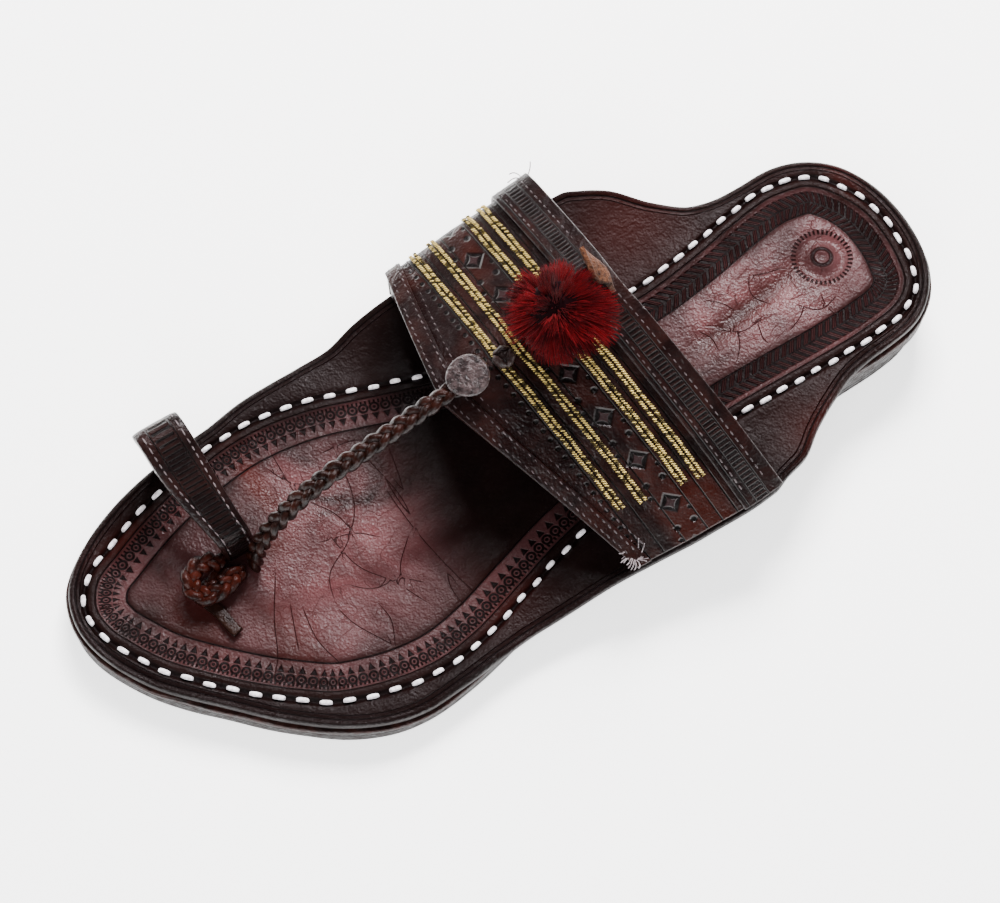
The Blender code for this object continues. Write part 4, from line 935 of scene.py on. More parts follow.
def layer_shell(ring, spine, top, thickness, radius, shares):
    """A closed leather layer: rows run from the middle line out over the top, round the rim by
    inset r(1 - sin a) and drop r(1 - cos a), down the wall and back under it."""
    turn = np.linspace(0, math.pi / 2, 5)[1:]
    rows = []
    inner = inset_ring(ring, radius)
    for share in shares:
        rows.append((spine + (inner - spine) * share, 0.0, 0.0))
    for a in turn:
        rows.append((inset_ring(ring, radius * (1 - math.sin(a))), radius * (1 - math.cos(a)), 0.0))
    for a in turn[::-1][:-1]:
        rows.append((inset_ring(ring, radius * (1 - math.sin(a))), 0.0, radius * (1 - math.cos(a))))
    for share in (1.0, 0.66, 0.33, 0.0):
        rows.append((spine + (inner - spine) * share, 0.0, 1e-9))
    count = len(rows)
    grid = np.zeros((count, len(ring), 3))
    for k, (flat, drop, rise) in enumerate(rows):
        z = top(flat[:, 0], flat[:, 1])
        under = k >= len(shares) + len(turn)
        grid[k, :, :2] = flat
        grid[k, :, 2] = z - thickness + rise if under else z - drop
    return grid


def weld(piece):
    """Merges a piece's doubled points along its closed middle lines and turns its faces out."""
    mesh = bmesh.new()
    mesh.from_mesh(piece.data)
    bmesh.ops.remove_doubles(mesh, verts=mesh.verts, dist=0.000002)
    bmesh.ops.recalc_face_normals(mesh, faces=mesh.faces)
    mesh.to_mesh(piece.data)
    mesh.free()


def crease_fields(x, y):
    """Signed distance to the nearest crease, and a mask that is 1 near it and fades at its ends."""
    best = np.full(x.shape, 1.0)
    signed = np.full(x.shape, 0.002)
    near = np.zeros(x.shape)
    for run in CREASES:
        path = smooth_path(run, 24)
        walked = path_length(path)
        for k in range(len(path) - 1):
            a, b = path[k], path[k + 1]
            step = b - a
            t = np.clip(((x - a[0]) * step[0] + (y - a[1]) * step[1]) / (step @ step), 0, 1)
            dx, dy = x - a[0] - step[0] * t, y - a[1] - step[1] * t
            far = np.hypot(dx, dy)
            side = np.sign(step[0] * dy - step[1] * dx)
            closer = far < best
            best = np.where(closer, far, best)
            signed = np.where(closer, np.clip(far * side, -0.002, 0.002), signed)
            place = (walked[k] + (walked[k + 1] - walked[k]) * t) / walked[-1]
            ends = ease(0.0, 0.12, place) * ease(0.0, 0.12, 1 - place)
            near = np.where(closer, ends, near)
    return signed, near * (1 - ease(0.0010, 0.0018, best))


def spots(x, y, rows):
    """Soft round spots, stains and painted shadow alike: each row is a centre, a reach along both axes and a
    weight.
    """
    total = np.zeros(x.shape)
    for cx, cy, rx, ry, weight in rows:
        total = np.maximum(total, weight * np.exp(-(((x - cx) / rx) ** 2 + ((y - cy) / ry) ** 2)))
    return np.clip(total, 0, 1)


FADED_SPOTS = (
    # x, y, reach across, reach along, weight
    (-0.020, -0.058, 0.020, 0.018, 1.00), (0.008, -0.070, 0.026, 0.024, 0.70),
    (-0.002, -0.048, 0.028, 0.014, 0.80), (-0.022, -0.100, 0.016, 0.018, 0.42),
    (0.012, -0.094, 0.016, 0.012, 0.50), (0.000, 0.072, 0.018, 0.024, 1.00),
    (0.004, 0.094, 0.016, 0.014, 1.00), (-0.004, 0.113, 0.016, 0.013, 0.90),
    (-0.020, -0.134, 0.030, 0.004, 0.35), (0.040, -0.050, 0.006, 0.026, 0.30),
)
OXBLOOD_SPOTS = (
    # x, y, reach across, reach along, weight
    (-0.031, -0.069, 0.010, 0.0035, 0.95), (-0.012, -0.075, 0.004, 0.006, 0.45),
    (-0.006, -0.104, 0.014, 0.008, 0.40), (0.014, -0.085, 0.014, 0.008, 0.45),
    (-0.042, 0.062, 0.014, 0.018, 0.45), (0.045, 0.078, 0.008, 0.014, 0.40),
    (-0.024, 0.128, 0.012, 0.004, 0.40), (-0.036, -0.110, 0.004, 0.016, 0.35),
    (0.040, -0.028, 0.010, 0.012, 0.35), (0.004, 0.101, 0.010, 0.006, 0.20),
)
# Painted shadow under and around the band and by the toe hitch, and darker dye over the heel stamp
SHADOW_AND_DYE_SPOTS = (
    # x, y, reach across, reach along, weight
    (-0.030, -0.010, 0.040, 0.020, 0.85), (0.000, 0.015, 0.060, 0.028, 0.90),
    (-0.046, -0.040, 0.016, 0.020, 0.55), (-0.050, 0.030, 0.022, 0.040, 0.55),
    (-0.012, -0.090, 0.006, 0.004, 0.60), (0.048, 0.030, 0.020, 0.040, 0.40),
    (STAMP_X, STAMP_Y, 0.0080, 0.0080, 0.60),
)


def make_footbed(sizes):
    """The footbed: a closed hide whose top is tooled, dipped at the heel seat and creased."""
    ends = (OUTLINE[:, 1].min(), OUTLINE[:, 1].max())
    ring, spine = layer_ring(lambda y: insole_edges(y)[0], lambda y: insole_edges(y)[1], ends, 330)
    shares = np.concatenate([np.linspace(0, 0.45, 22), np.linspace(0.45, 1.0, 48)[1:]])
    grid = layer_shell(ring, spine, insole_top, INSOLE_THICKNESS, 0.0011, shares)
    x, y = grid[..., 0], grid[..., 1]
    stitch, stitch_length = even_ring(closed_curve(STITCH_LINE, 14), 1500)
    along, inside = nearest_on_ring(stitch, stitch_length, x, y)
    edge, edge_length = even_ring(ring, 1500)
    _, rim = nearest_on_ring(edge, edge_length, x, y)
    along, inside, rim = (v.reshape(x.shape) for v in (along, inside, rim))
    signed, near = crease_fields(x, y)
    top = np.arange(len(grid))[:, None] < len(shares)
    lift = -0.00055 * bell(inside, 0.0012)
    lift -= 0.00030 * ease(0.0036, 0.0046, inside) * (1 - ease(0.0108, 0.0118, inside))
    lift -= 0.00035 * bell(inside - BORDER_GROOVE, 0.0007) + 0.00025 * bell(rim - 0.0021, 0.0007)
    lift += 0.00025 * bell(inside - 0.0021, 0.0010)
    fold = 0.0046 - 0.00016 * (y - 0.058) / 0.001
    seat = bell((x - fold) / 0.0034, 1.0) * bell((y - 0.078) / 0.024, 1.0)
    lift -= 0.0010 * seat
    from_stamp = np.hypot(x - STAMP_X, y - STAMP_Y)
    lift -= 0.0006 * bell(from_stamp - 0.0062, 0.0016)
    lift += 0.0005 * bell(from_stamp - 0.0026, 0.0012)
    lift -= 0.0012 * bell(x - 0.004, 0.024) * bell(y + 0.066, 0.024)
    lift -= 0.0009 * bell(x + 0.030, 0.012) * bell(y + 0.062, 0.016)
    lift += 0.00020 * value_noise(x, y, 0.011, 3) * ease(0.012, 0.016, inside)
    lift += 0.00008 * value_noise(x, y, 0.0045, 5) * ease(0.0, 0.010, inside)
    lift += 0.0007 * value_noise(x, y, 0.022, 9) * ease(0.0, 0.006, -inside)
    lift -= (0.00024 - 0.00014 * (y > 0.05)) * near * bell(signed, 0.0008)
    grid[..., 2] += np.where(top, lift, 0.0)
    grid[..., 2] += 0.0005 * value_noise(x, y, 0.016, 12) * ease(0.004, 0.0, rim)
    middle = ease(0.0105, 0.0150, inside)
    outer = 0.35 * ease(0.0, -0.004, inside) * bell(y / 0.2, 1.0)
    # The ground of the tooled border is painted lighter, a painted highlight between the marks, and gets more
    # coat
    tooled = (0.42 - 0.14 * (y > 0.012)) * ease(0.0030, 0.0042, inside) * (1 - ease(0.0112, 0.0124, inside))
    faded = spots(x, y, FADED_SPOTS) * np.maximum(middle, outer) + tooled
    # Oxblood stains, and the heel seat's fold painted dark red as painted shade in its trough
    red = np.maximum(spots(x, y, OXBLOOD_SPOTS), 0.8 * seat)
    toe_rim = 0.55 * ease(0.001, -0.002, inside) * ease(0.02, -0.03, y)
    # Painted shadow from the spots and in the heel seat's fold, dark dye at the toe rim and over the tooled
    # border
    shade = np.maximum(np.maximum(np.maximum(spots(x, y, SHADOW_AND_DYE_SPOTS), 0.62 * seat), toe_rim),
                       0.05 * ease(0.003, 0.005, inside) * (1 - ease(0.0112, 0.0128, inside)))
    put_piece("footbed", *closed_grid(grid),
              tooled_footbed(tuple(sizes.footbed_dark), tuple(sizes.footbed_worn), linear("#0a0302")),
              "footbed_leather", "insole",
              maps=(("border", np.column_stack([along.ravel(), np.where(top, inside, -0.02).ravel()])),
                    ("rim", np.column_stack([np.where(top, rim, 0.02).ravel(), signed.ravel()]))),
              values=(("crease_near", (near * top).ravel()), ("faded", faded.ravel()),
                      ("oxblood_and_fold_shade", red.ravel()), ("darkened", shade.ravel())))


def make_white_stitches(sizes):
    """White cotton stitches: capsules x = l cos a, r sin a, sunk a little along the line."""
    stitch, length = even_ring(closed_curve(STITCH_LINE, 14), 3000)
    local = sizes.stitch_pitch * (1.06 - 0.12 * ease(-0.06, 0.06, stitch[:, 1]))
    taken = np.concatenate([[0], np.cumsum(length / 3000 / local)])
    count = int(round(taken[-1]))
    middles = np.interp((np.arange(count) + 0.5) * taken[-1] / count, taken, np.linspace(0, length, 3001))
    half = 0.5 * sizes.stitch_length * (1 + 0.10 * np.sin(middles * 911.0))
    turn = np.linspace(0, math.pi, 9)
    round_turn = circle(8)
    walk = middles[:, None] - half[:, None] * np.cos(turn)[None, :]
    place = walk / length * 3000
    index = np.floor(place).astype(int)
    share = (place - index)[..., None]
    path = stitch[index % 3000] * (1 - share) + stitch[(index + 1) % 3000] * share
    ahead = unit(stitch[(index + 2) % 3000] - stitch[(index - 2) % 3000])
    side = np.stack([-ahead[..., 1], ahead[..., 0]], -1)
    wobble = 0.00022 * np.sin(middles * 523.0)
    path = path + side * wobble[:, None, None]
    base = insole_top(path[..., 0], path[..., 1])
    fat = np.sin(turn) ** 0.45
    z = base + 0.00018 - 0.00075 * (1 - np.sin(turn)[None, :]) ** 2
    wide, tall = 0.00076 * fat, 0.00060 * fat
    points = np.zeros((count, 9, 8, 3))
    across = (wide[None, :, None] * np.cos(round_turn))[..., None]
    points[..., :2] = path[:, :, None, :] + side[:, :, None, :] * across
    points[..., 2] = z[:, :, None] + tall[None, :, None] * np.sin(round_turn)
    faces = faces_of_each(grid_faces(9, 8, wrap_columns=True, flip=True), count, 72)
    put_piece("white_stitches", points.reshape(-1, 3), faces,
              cotton_thread("waxed_white_cotton", tuple(sizes.stitch_colour), linear("#b9aeb2")),
              "footbed_leather")


def make_sole_layers(sizes):
    """Outsole and welt: closed layers with burnished, softly rounded edges."""
    dark = edge_hide("burnished_sole_edge", tuple(sizes.sole_colour), linear("#1f1210"), 0.38, 0.66)
    brown = edge_hide("dyed_welt_edge", linear("#150907"), linear("#2c1410"), 0.36, 0.60)
    ends = (OUTLINE[:, 1].min(), OUTLINE[:, 1].max())
    shares = np.linspace(0, 1, 6)
    ring, spine = layer_ring(medial_edge, lateral_edge, ends, 240)
    step = value_noise(ring[:, 0], ring[:, 1], 0.013, 21)[:, None]
    run = np.roll(ring, -1, 0) - np.roll(ring, 1, 0)
    normal = np.column_stack([run[:, 1], -run[:, 0]]) / np.linalg.norm(run, axis=1)[:, None]
    normal *= -np.sign(((inset_ring(ring, 0.001) - ring) * normal).sum())
    outsole = layer_shell(ring + normal * 0.00030 * step, spine,
                          lambda x, y: floor_line(y) + OUTSOLE_THICKNESS, OUTSOLE_THICKNESS, 0.0009, shares)
    put_piece("outsole_leather", *closed_grid(outsole), dark, "sole_leather", "outsole")
    wide = inset_ring(ring, -WELT_PROUD)
    low = OUTSOLE_THICKNESS + LAYER_GAP
    wander = 0.00020 * value_noise(ring[:, 0], ring[:, 1], 0.008, 25)[:, None]
    welt = layer_shell(wide + normal * wander, spine,
                       lambda x, y: floor_line(y) + low + WELT_THICKNESS, WELT_THICKNESS, 0.0008, shares)
    put_piece("welt_leather", *closed_grid(welt), brown, "sole_leather", "welt")


def make_heel_block(sizes):
    """The heel: a stack of lifts, drawn in towards the floor, its edge rasped in fine waves."""
    front = SOLE_LENGTH / 2 - HEEL_LENGTH
    back = OUTLINE[:, 1].max()
    turn = np.linspace(0, math.pi / 2, 60)
    y = front + (back - front) * np.sin(turn)
    left = np.column_stack([medial_edge(y), y])
    right = np.column_stack([lateral_edge(y), y])[::-1]
    breast = np.linspace(0, 1, 24)[1:-1]
    hollow = 0.0030 * (1 - (2 * breast - 1) ** 2)
    face = np.column_stack([right[-1, 0] + (left[0, 0] - right[-1, 0]) * breast, front + hollow])
    ring = np.vstack([left, right[1:], face])
    middle = np.array([ring[:, 0].mean(), (front + back) / 2])
    levels = np.concatenate([[0.0, 0.0004], np.linspace(0.0010, HEEL_HEIGHT - 0.0006, 22),
                             [HEEL_HEIGHT - 0.0002, HEEL_HEIGHT]])
    rows = [np.column_stack([np.tile(middle, (len(ring), 1)), np.zeros(len(ring))])]
    for z in levels:
        share = z / HEEL_HEIGHT
        inset = HEEL_INSET_FLOOR + (HEEL_INSET_TOP - HEEL_INSET_FLOOR) * share + 0.0002
        inset += 0.00012 * math.cos(z / 0.0028 * math.tau) + 0.0005 * (z < 0.0002)
        shrink = np.clip(1 - inset / np.linalg.norm(ring - middle, axis=1), 0, 1)[:, None]
        flat = middle + (ring - middle) * shrink
        rows.append(np.column_stack([flat, np.full(len(ring), z)]))
    rows.append(np.column_stack([np.tile(middle, (len(ring), 1)), np.full(len(ring), HEEL_HEIGHT)]))
    put_piece("heel_lifts", *closed_grid(np.stack(rows)),
              edge_hide("rasped_heel_edge", tuple(sizes.sole_colour), linear("#1a100e"), 0.42, 0.70),
              "sole_leather", "heel")


def span_from_ridge(reach):
    """Distance walked along the band from its ridge at each reach, lateral side positive."""
    fine = np.linspace(-1, 1, 801)
    path = band_surface(fine, 0.5, np.full(801, BAND_THICKNESS))
    walked = path_length(path)
    walked -= np.interp(0.0, fine, walked)
    return np.interp(reach, fine, walked)


def band_slab(name, node, first, last, low, high, radius, columns, ruffle, material):
    """A strip of the band between two distances from its rear edge: a rounded rectangle in
    distance and lift, carried along the reach and closed at both feet."""
    steps = 260
    reach = np.concatenate([np.linspace(-1, 0, steps // 2 + 1), np.linspace(0, 1, steps // 2 + 1)[1:]])
    width = band_width(reach)
    turn = np.linspace(0, math.pi / 2, 5)
    a, b = first(reach, width), last(reach, width)
    rows = []
    for share in np.linspace(0, 1, columns):
        rows.append((b - radius + (a - b + 2 * radius) * share, np.full(len(reach), high)))
    for level, drop, turns in ((high, -radius, turn[1:]), (low, radius, turn[::-1][1:])):
        for t in turns:
            rows.append((a + radius * (1 - math.sin(t)),
                         np.full(len(reach), level + drop * (1 - math.cos(t)))))
    for share in np.linspace(0, 1, max(columns // 3, 4))[1:]:
        rows.append((a + radius + (b - a - 2 * radius) * share, np.full(len(reach), low)))
    for level, drop, turns in ((low, radius, turn[1:]), (high, -radius, turn[::-1][1:-1])):
        for t in turns:
            rows.append((b - radius * (1 - math.sin(t)),
                         np.full(len(reach), level + drop * (1 - math.cos(t)))))
    rear = np.stack([r[0] for r in rows], 1)
    lift = np.stack([r[1] for r in rows], 1)
    place = np.repeat(reach[:, None], rear.shape[1], axis=1)
    span = np.repeat(span_from_ridge(reach)[:, None], rear.shape[1], axis=1)
    bumpy = ruffle * (value_noise(span, rear, 0.009, 31) + 0.5 * value_noise(span, rear, 0.004, 37))
    lift = lift + np.where(lift > (low + high) / 2, bumpy, 0.0)
    across = np.clip(1 - rear / width[:, None], 0, 1)
    grid = band_surface(place, across, lift)
    cap = np.repeat(grid.mean(1)[:, None, :], grid.shape[1], axis=1)
    grid = np.concatenate([cap[:1], grid, cap[-1:]])
    uv = np.stack([span, rear], -1)
    uv = np.concatenate([uv[:1], uv, uv[-1:]])
    put_piece(name, *closed_grid(grid), material, "dark_leather", node, maps=(("span", uv.reshape(-1, 2)),))


def front_strip_width(reach):
    """The front border narrows from the ridge to the feet."""
    return FRONT_STRIP_RIDGE_WIDTH + (FRONT_STRIP_FOOT_WIDTH - FRONT_STRIP_RIDGE_WIDTH) * abs(reach)


def make_band(sizes):
    """The instep band: its base hide, and the strips sewn along its front and rear edges."""
    base, light, red = tuple(sizes.band_colour), linear("#230e0b"), linear("#280b06")
    band_slab("instep_band_hide", "instep_band", lambda r, w: 0 * r, lambda r, w: w,
              0.0, BAND_THICKNESS, 0.0007, 110, 0.00018,
              band_hide("punched_band_hide", base, light, red, panel_marks))
    low = BAND_THICKNESS + LAYER_GAP / 2
    band_slab("rear_border", "rear_strip", lambda r, w: 0 * r + 0.0001, lambda r, w: 0 * r + REAR_STRIP_WIDTH,
              low, low + REAR_STRIP_THICKNESS, 0.0005, 30, 0.00012,
              band_hide("ladder_tooled_hide", base, light, base, ladder_marks))
    band_slab("front_border", "front_strip", lambda r, w: w - front_strip_width(r), lambda r, w: w - 0.0001,
              low, low + FRONT_STRIP_THICKNESS, 0.0004, 18, 0.00012,
              band_hide("front_border_hide", base, light, base))


def tube(path, side, up, wide, tall, sides):
    """Rings of an ellipse carried along one path or several."""
    turn = circle(sides)
    return (path[..., None, :] + side[..., None, :] * (np.asarray(wide)[..., None] * np.cos(turn))[..., None]
            + up[..., None, :] * (np.asarray(tall)[..., None] * np.sin(turn))[..., None])


def carried_axes(path, reference):
    """Sideways and upward directions that turn as little as they can along a path."""
    ahead = unit(np.gradient(path, axis=0))
    up = np.zeros_like(path)
    last = np.asarray(reference, float)
    for i, step in enumerate(ahead):
        last = last - step * (last @ step)
        last = last / np.linalg.norm(last)
        up[i] = last
    return np.cross(ahead, up), up


def capped(rings, value=0.0):
    """A run of rings as a shell: its ends closed by rings collapsed to their middles, its faces,
    and a value at each point, given for all, for each ring or for each point of the rings."""
    value = np.broadcast_to(value, rings.shape[:2])
    rings = np.concatenate([np.repeat(rings[:1].mean(1)[:, None], rings.shape[1], 1), rings,
                            np.repeat(rings[-1:].mean(1)[:, None], rings.shape[1], 1)])
    return (*closed_grid(rings), np.concatenate([value[:1], value, value[-1:]]).ravel())


def uncapped(grid):
    """Rings that are closed at both ends already, as a shell whose value is 0."""
    return (*closed_grid(grid), np.zeros(grid.shape[0] * grid.shape[1]))


def faces_of_each(faces, count, size):
    """One shell's faces repeated for several shells of size points each."""
    return (faces + size * np.arange(count)[:, None, None]).reshape(-1, 4)


def joined(shells):
    """Several shells as one: their points, their faces and their values."""
    starts = np.cumsum([0] + [len(points) for points, _, _ in shells])
    return (np.vstack([points for points, _, _ in shells]),
            np.vstack([faces + start for (_, faces, _), start in zip(shells, starts)]),
            np.concatenate([value for _, _, value in shells]))


def band_line(span, rear, lift):
    """Points over the band at distances from its ridge and from its rear edge."""
    fine = np.linspace(-1, 1, 801)
    reach = np.interp(span, span_from_ridge(fine), fine)
    across = np.clip(1 - rear / band_width(reach), 0, 1)
    return band_surface(reach, across, np.broadcast_to(lift, np.shape(span)))


ZARI_LINES = (
    # distance from the rear edge, medial end, lateral end
    (0.0410, -0.0500, 0.0560), (0.0347, -0.0510, 0.0575), (0.0222, -0.0520, 0.0590),
    (0.0171, -0.0520, 0.0600),
)


def make_zari(sizes):
    """Gold cords couched in pairs: each is two plies that turn round each other, pressed flat."""
    shells = []
    for line, (rear, low, high) in enumerate(ZARI_LINES):
        for cord, shift in enumerate((-0.00078, 0.00078)):
            count = 620
            span = np.linspace(low, high, count)
            sway = 0.00018 * value_noise(span, span * 0 + line * 3 + cord, 0.006, 41)
            centre = band_line(span, rear + shift + sway, BAND_THICKNESS + 0.00045)
            above = band_line(span, rear + shift + sway, BAND_THICKNESS + 0.00145)
            up = unit(above - centre)
            side = unit(np.cross(np.gradient(centre, axis=0), up))
            for ply in (0, 1):
                turn = span / 0.0016 * math.tau + ply * math.pi + cord * 1.3
                path = (centre + side * (0.00034 * np.cos(turn))[:, None]
                        + up * (0.00016 * np.sin(turn))[:, None])
                rings = tube(path, side, up, np.full(count, 0.00030), np.full(count, 0.00026), 5)
                # Dark flecks that break the gold into glints are painted glitter; the dark where a ply dips
                # under the other is painted shade
                flecks = value_noise(span, span * 0 + line * 7 + cord * 3 + ply, 0.0009, 43)
                dark = 0.95 * ease(0.0, 0.45, flecks)
                dark = np.maximum(dark, 0.95 * ease(-0.3, 0.6, -np.sin(turn)))
                shells.append(capped(rings, dark[:, None]))
    points, faces, glitter_and_shade = joined(shells)
    put_piece("zari_cords", points, faces, gold_thread(), "dark_leather", values=(("glitter_and_shade", glitter_and_shade),))


def dash_row(span, rear, lift, half, radius):
    """Small thread dashes lying over the band along a row, as one shell."""
    turn = np.linspace(0, math.pi, 5)
    walk = span[:, None] - half * np.cos(turn)[None, :]
    rear = np.broadcast_to(np.asarray(rear, float)[..., None] if np.ndim(rear) else rear, walk.shape)
    centre = band_line(walk.ravel(), rear.ravel(), lift).reshape(*walk.shape, 3)
    above = band_line(walk.ravel(), rear.ravel(), lift + 0.001).reshape(*walk.shape, 3)
    up = unit(above - centre)
    side = unit(np.cross(np.gradient(centre, axis=1), up))
    fat = radius * np.sin(turn) ** 0.5
    ring = circle(5)
    cloud = (centre[:, :, None, :] + side[:, :, None, :] * (fat[None, :, None] * np.cos(ring))[..., None]
             + up[:, :, None, :] * (fat[None, :, None] * np.sin(ring) - 0.0001)[..., None])
    faces = faces_of_each(grid_faces(5, 5, wrap_columns=True), len(span), 25)
    return cloud.reshape(-1, 3), faces, np.zeros(cloud.size // 3)


def make_band_threads(sizes):
    """Rows of thin grey-brown thread dashes on the band's borders and panel."""
    rear_top = BAND_THICKNESS + LAYER_GAP / 2 + REAR_STRIP_THICKNESS
    front_top = BAND_THICKNESS + LAYER_GAP / 2 + FRONT_STRIP_THICKNESS
    pitch = 0.0024
    span = np.arange(-0.066, 0.070, pitch)
    fine = np.linspace(-1, 1, 801)
    reach = np.interp(span, span_from_ridge(fine), fine)
    width = band_width(reach)
    rows = [(0 * span + 0.0032, rear_top), (0 * span + 0.0103, rear_top), (width - 0.0016, front_top),
            (width - front_strip_width(reach) + 0.0010, front_top),
            (width - front_strip_width(reach) - 0.0020, BAND_THICKNESS)]
    points, faces, _ = joined([dash_row(span, rear, lift, 0.00078, 0.00024) for rear, lift in rows])
    put_piece("band_threads", points, faces,
              cotton_thread("dark_waxed_cotton", linear("#4c4143"), linear("#180f10")), "dark_leather")


def plait(path, reference, half_width, half_height, pitch, strand_wide, strand_tall, sides=8):
    """A three-strand plait: strand k swings a cos(p + 2 pi k / 3) sideways and b sin 2(p + ...)
    up, so that the strands pass over each other in turn."""
    side, up = carried_axes(path, reference)
    walked = path_length(path)
    shells = []
    for k in range(3):
        turn = walked / pitch * math.tau / 2 + k * math.tau / 3
        swing = half_width * np.cos(turn)
        bob = half_height * np.sin(2 * turn)
        line = path + side * swing[:, None] + up * bob[:, None]
        own_side, own_up = carried_axes(line, up[0])
        rings = tube(line, own_side, own_up, np.broadcast_to(strand_wide, len(path)),
                     np.broadcast_to(strand_tall, len(path)), sides)
        # Painted light and shade: a strand is lighter where it rides over the others and on its upper side,
        # darker where it dips under
        high = np.clip(0.5 + 0.5 * np.sin(2 * turn), 0, 1)[:, None] * np.ones(sides)
        upper_side_light = np.clip(np.sin(circle(sides)) * 0.5 + 0.5, 0, 1)
        shells.append(capped(rings, high * 0.6 + upper_side_light * 0.4))
    return joined(shells)


def ridge_place(from_front, lift):
    """A place over the ridge behind the front edge, with its axes: sideways, back and up."""
    across = np.array(from_front / band_width(np.array(0.0)))
    place = band_surface(np.array(0.0), across, np.array(lift))
    back = band_inner(np.array(0.0), across + 0.01) - band_inner(np.array(0.0), across - 0.01)
    back /= np.linalg.norm(back)
    side = np.array([1.0, 0.0, 0.0])
    up = np.cross(side, back)
    return place, np.stack([side, back, up / np.linalg.norm(up)])


def thong_line():
    """The thong's middle line, from over its hole in the footbed to under the button."""
    start = np.array([THONG_HOLE_X, THONG_HOLE_Y, float(insole_top(THONG_HOLE_X, THONG_HOLE_Y)) + LAYER_GAP])
    over = BAND_THICKNESS + FRONT_STRIP_THICKNESS + 2 * LAYER_GAP
    edge = ridge_place(0.0003, over + THONG_HALF_HEIGHT * 1.12)[0]
    inside = ridge_place(THONG_OVER_BAND, over + THONG_END_HALF_HEIGHT * 1.35)[0]
    approach = edge + np.array([0.0, -0.0035, -0.0008])
    back, rise = np.array(THONG_LINE).T
    points = np.column_stack([start[0] + (approach[0] - start[0]) * back,
                              start[1] + (approach[1] - start[1]) * back,
                              start[2] + (approach[2] - start[2]) * rise])
    points = np.vstack([points, edge * 0.5 + inside * 0.5 + (0, 0, 0.0006), inside])
    return smooth_path(points, 420)


def make_thong(sizes):
    """The plaited thong, flattened where it slips under the button."""
    path = thong_line()
    share = np.linspace(0, 1, len(path))
    flat = ease(0.865, 0.94, share)
    points, faces, crown = plait(path, (0, -0.35, 1.0), 0.00165 - 0.0002 * flat, 0.00085 - 0.00055 * flat,
                                 0.0068, 0.00150, 0.00118 - 0.00045 * flat)
    floor = insole_top(points[:, 0], points[:, 1]) - 0.0003
    low = (points[:, 1] < THONG_HOLE_Y + 0.01) & (points[:, 2] < floor)
    points[:, 2] = np.where(low, floor, points[:, 2])
    put_piece("plaited_thong", points, faces,
              braid_hide("oiled_lace_dark", linear("#070302"), linear("#220c07")),
              "braid_leather", "thong", values=(("crown", crown),))


def make_toe_knot(sizes):
    """The hitch at the toe: a plaited lace bent round on itself, its flat tail slipped under."""
    hole_z = float(insole_top(THONG_HOLE_X, THONG_HOLE_Y))
    path = smooth_path([(THONG_HOLE_X + x, THONG_HOLE_Y + y, hole_z + z) for x, y, z in KNOT_LINE], 220)
    outer = plait(path, (0.2, 0.1, 1.0), 0.00155, 0.00085, 0.0062, 0.00150, 0.00110)
    inner = smooth_path([(THONG_HOLE_X + x, THONG_HOLE_Y + y, hole_z + z) for x, y, z in HITCH_CORE], 90)
    points, faces, crown = plait(inner, (0.2, 0.1, 1.0), 0.00110, 0.00060, 0.0056, 0.00120, 0.00090)
    # The lace inside the hitch takes 0.6 of the crown value: painted shade under the outer lace
    points, faces, crown = joined([outer, (points, faces, crown * 0.6)])
    floor = insole_top(points[:, 0], points[:, 1]) + 0.0002
    points[:, 2] = np.maximum(points[:, 2], floor)
    put_piece("toe_hitch", points, faces, braid_hide("oiled_lace_rust", linear("#0a0302"), linear("#300e07")),
              "braid_leather", "toe_knot", values=(("crown", crown),))
    share = np.linspace(0, 1, 30)
    x = THONG_HOLE_X + TAIL_START[0] + TAIL_LENGTH * share
    y = THONG_HOLE_Y + TAIL_START[1] + TAIL_TURN * share + 0.0004 * np.sin(share * 5)
    line = np.column_stack([x, y, insole_top(x, y) + 0.0010 + 0.0004 * share**2])
    side, up = carried_axes(line, (0, 0, 1.0))
    turn = circle(16)
    box_x = np.sign(np.cos(turn)) * abs(np.cos(turn)) ** 0.35 * TAIL_WIDTH / 2
    box_z = np.sign(np.sin(turn)) * abs(np.sin(turn)) ** 0.5 * TAIL_THICKNESS / 2
    rings = (line[:, None, :] + side[:, None, :] * box_x[None, :, None]
             + up[:, None, :] * box_z[None, :, None])
    points, faces, crown = capped(rings, 0.6)
    put_piece("lace_tail", points, faces, braid_hide("cut_lace_tail", linear("#0c0504"), linear("#221009")),
              "braid_leather", "tail", values=(("crown", crown),))


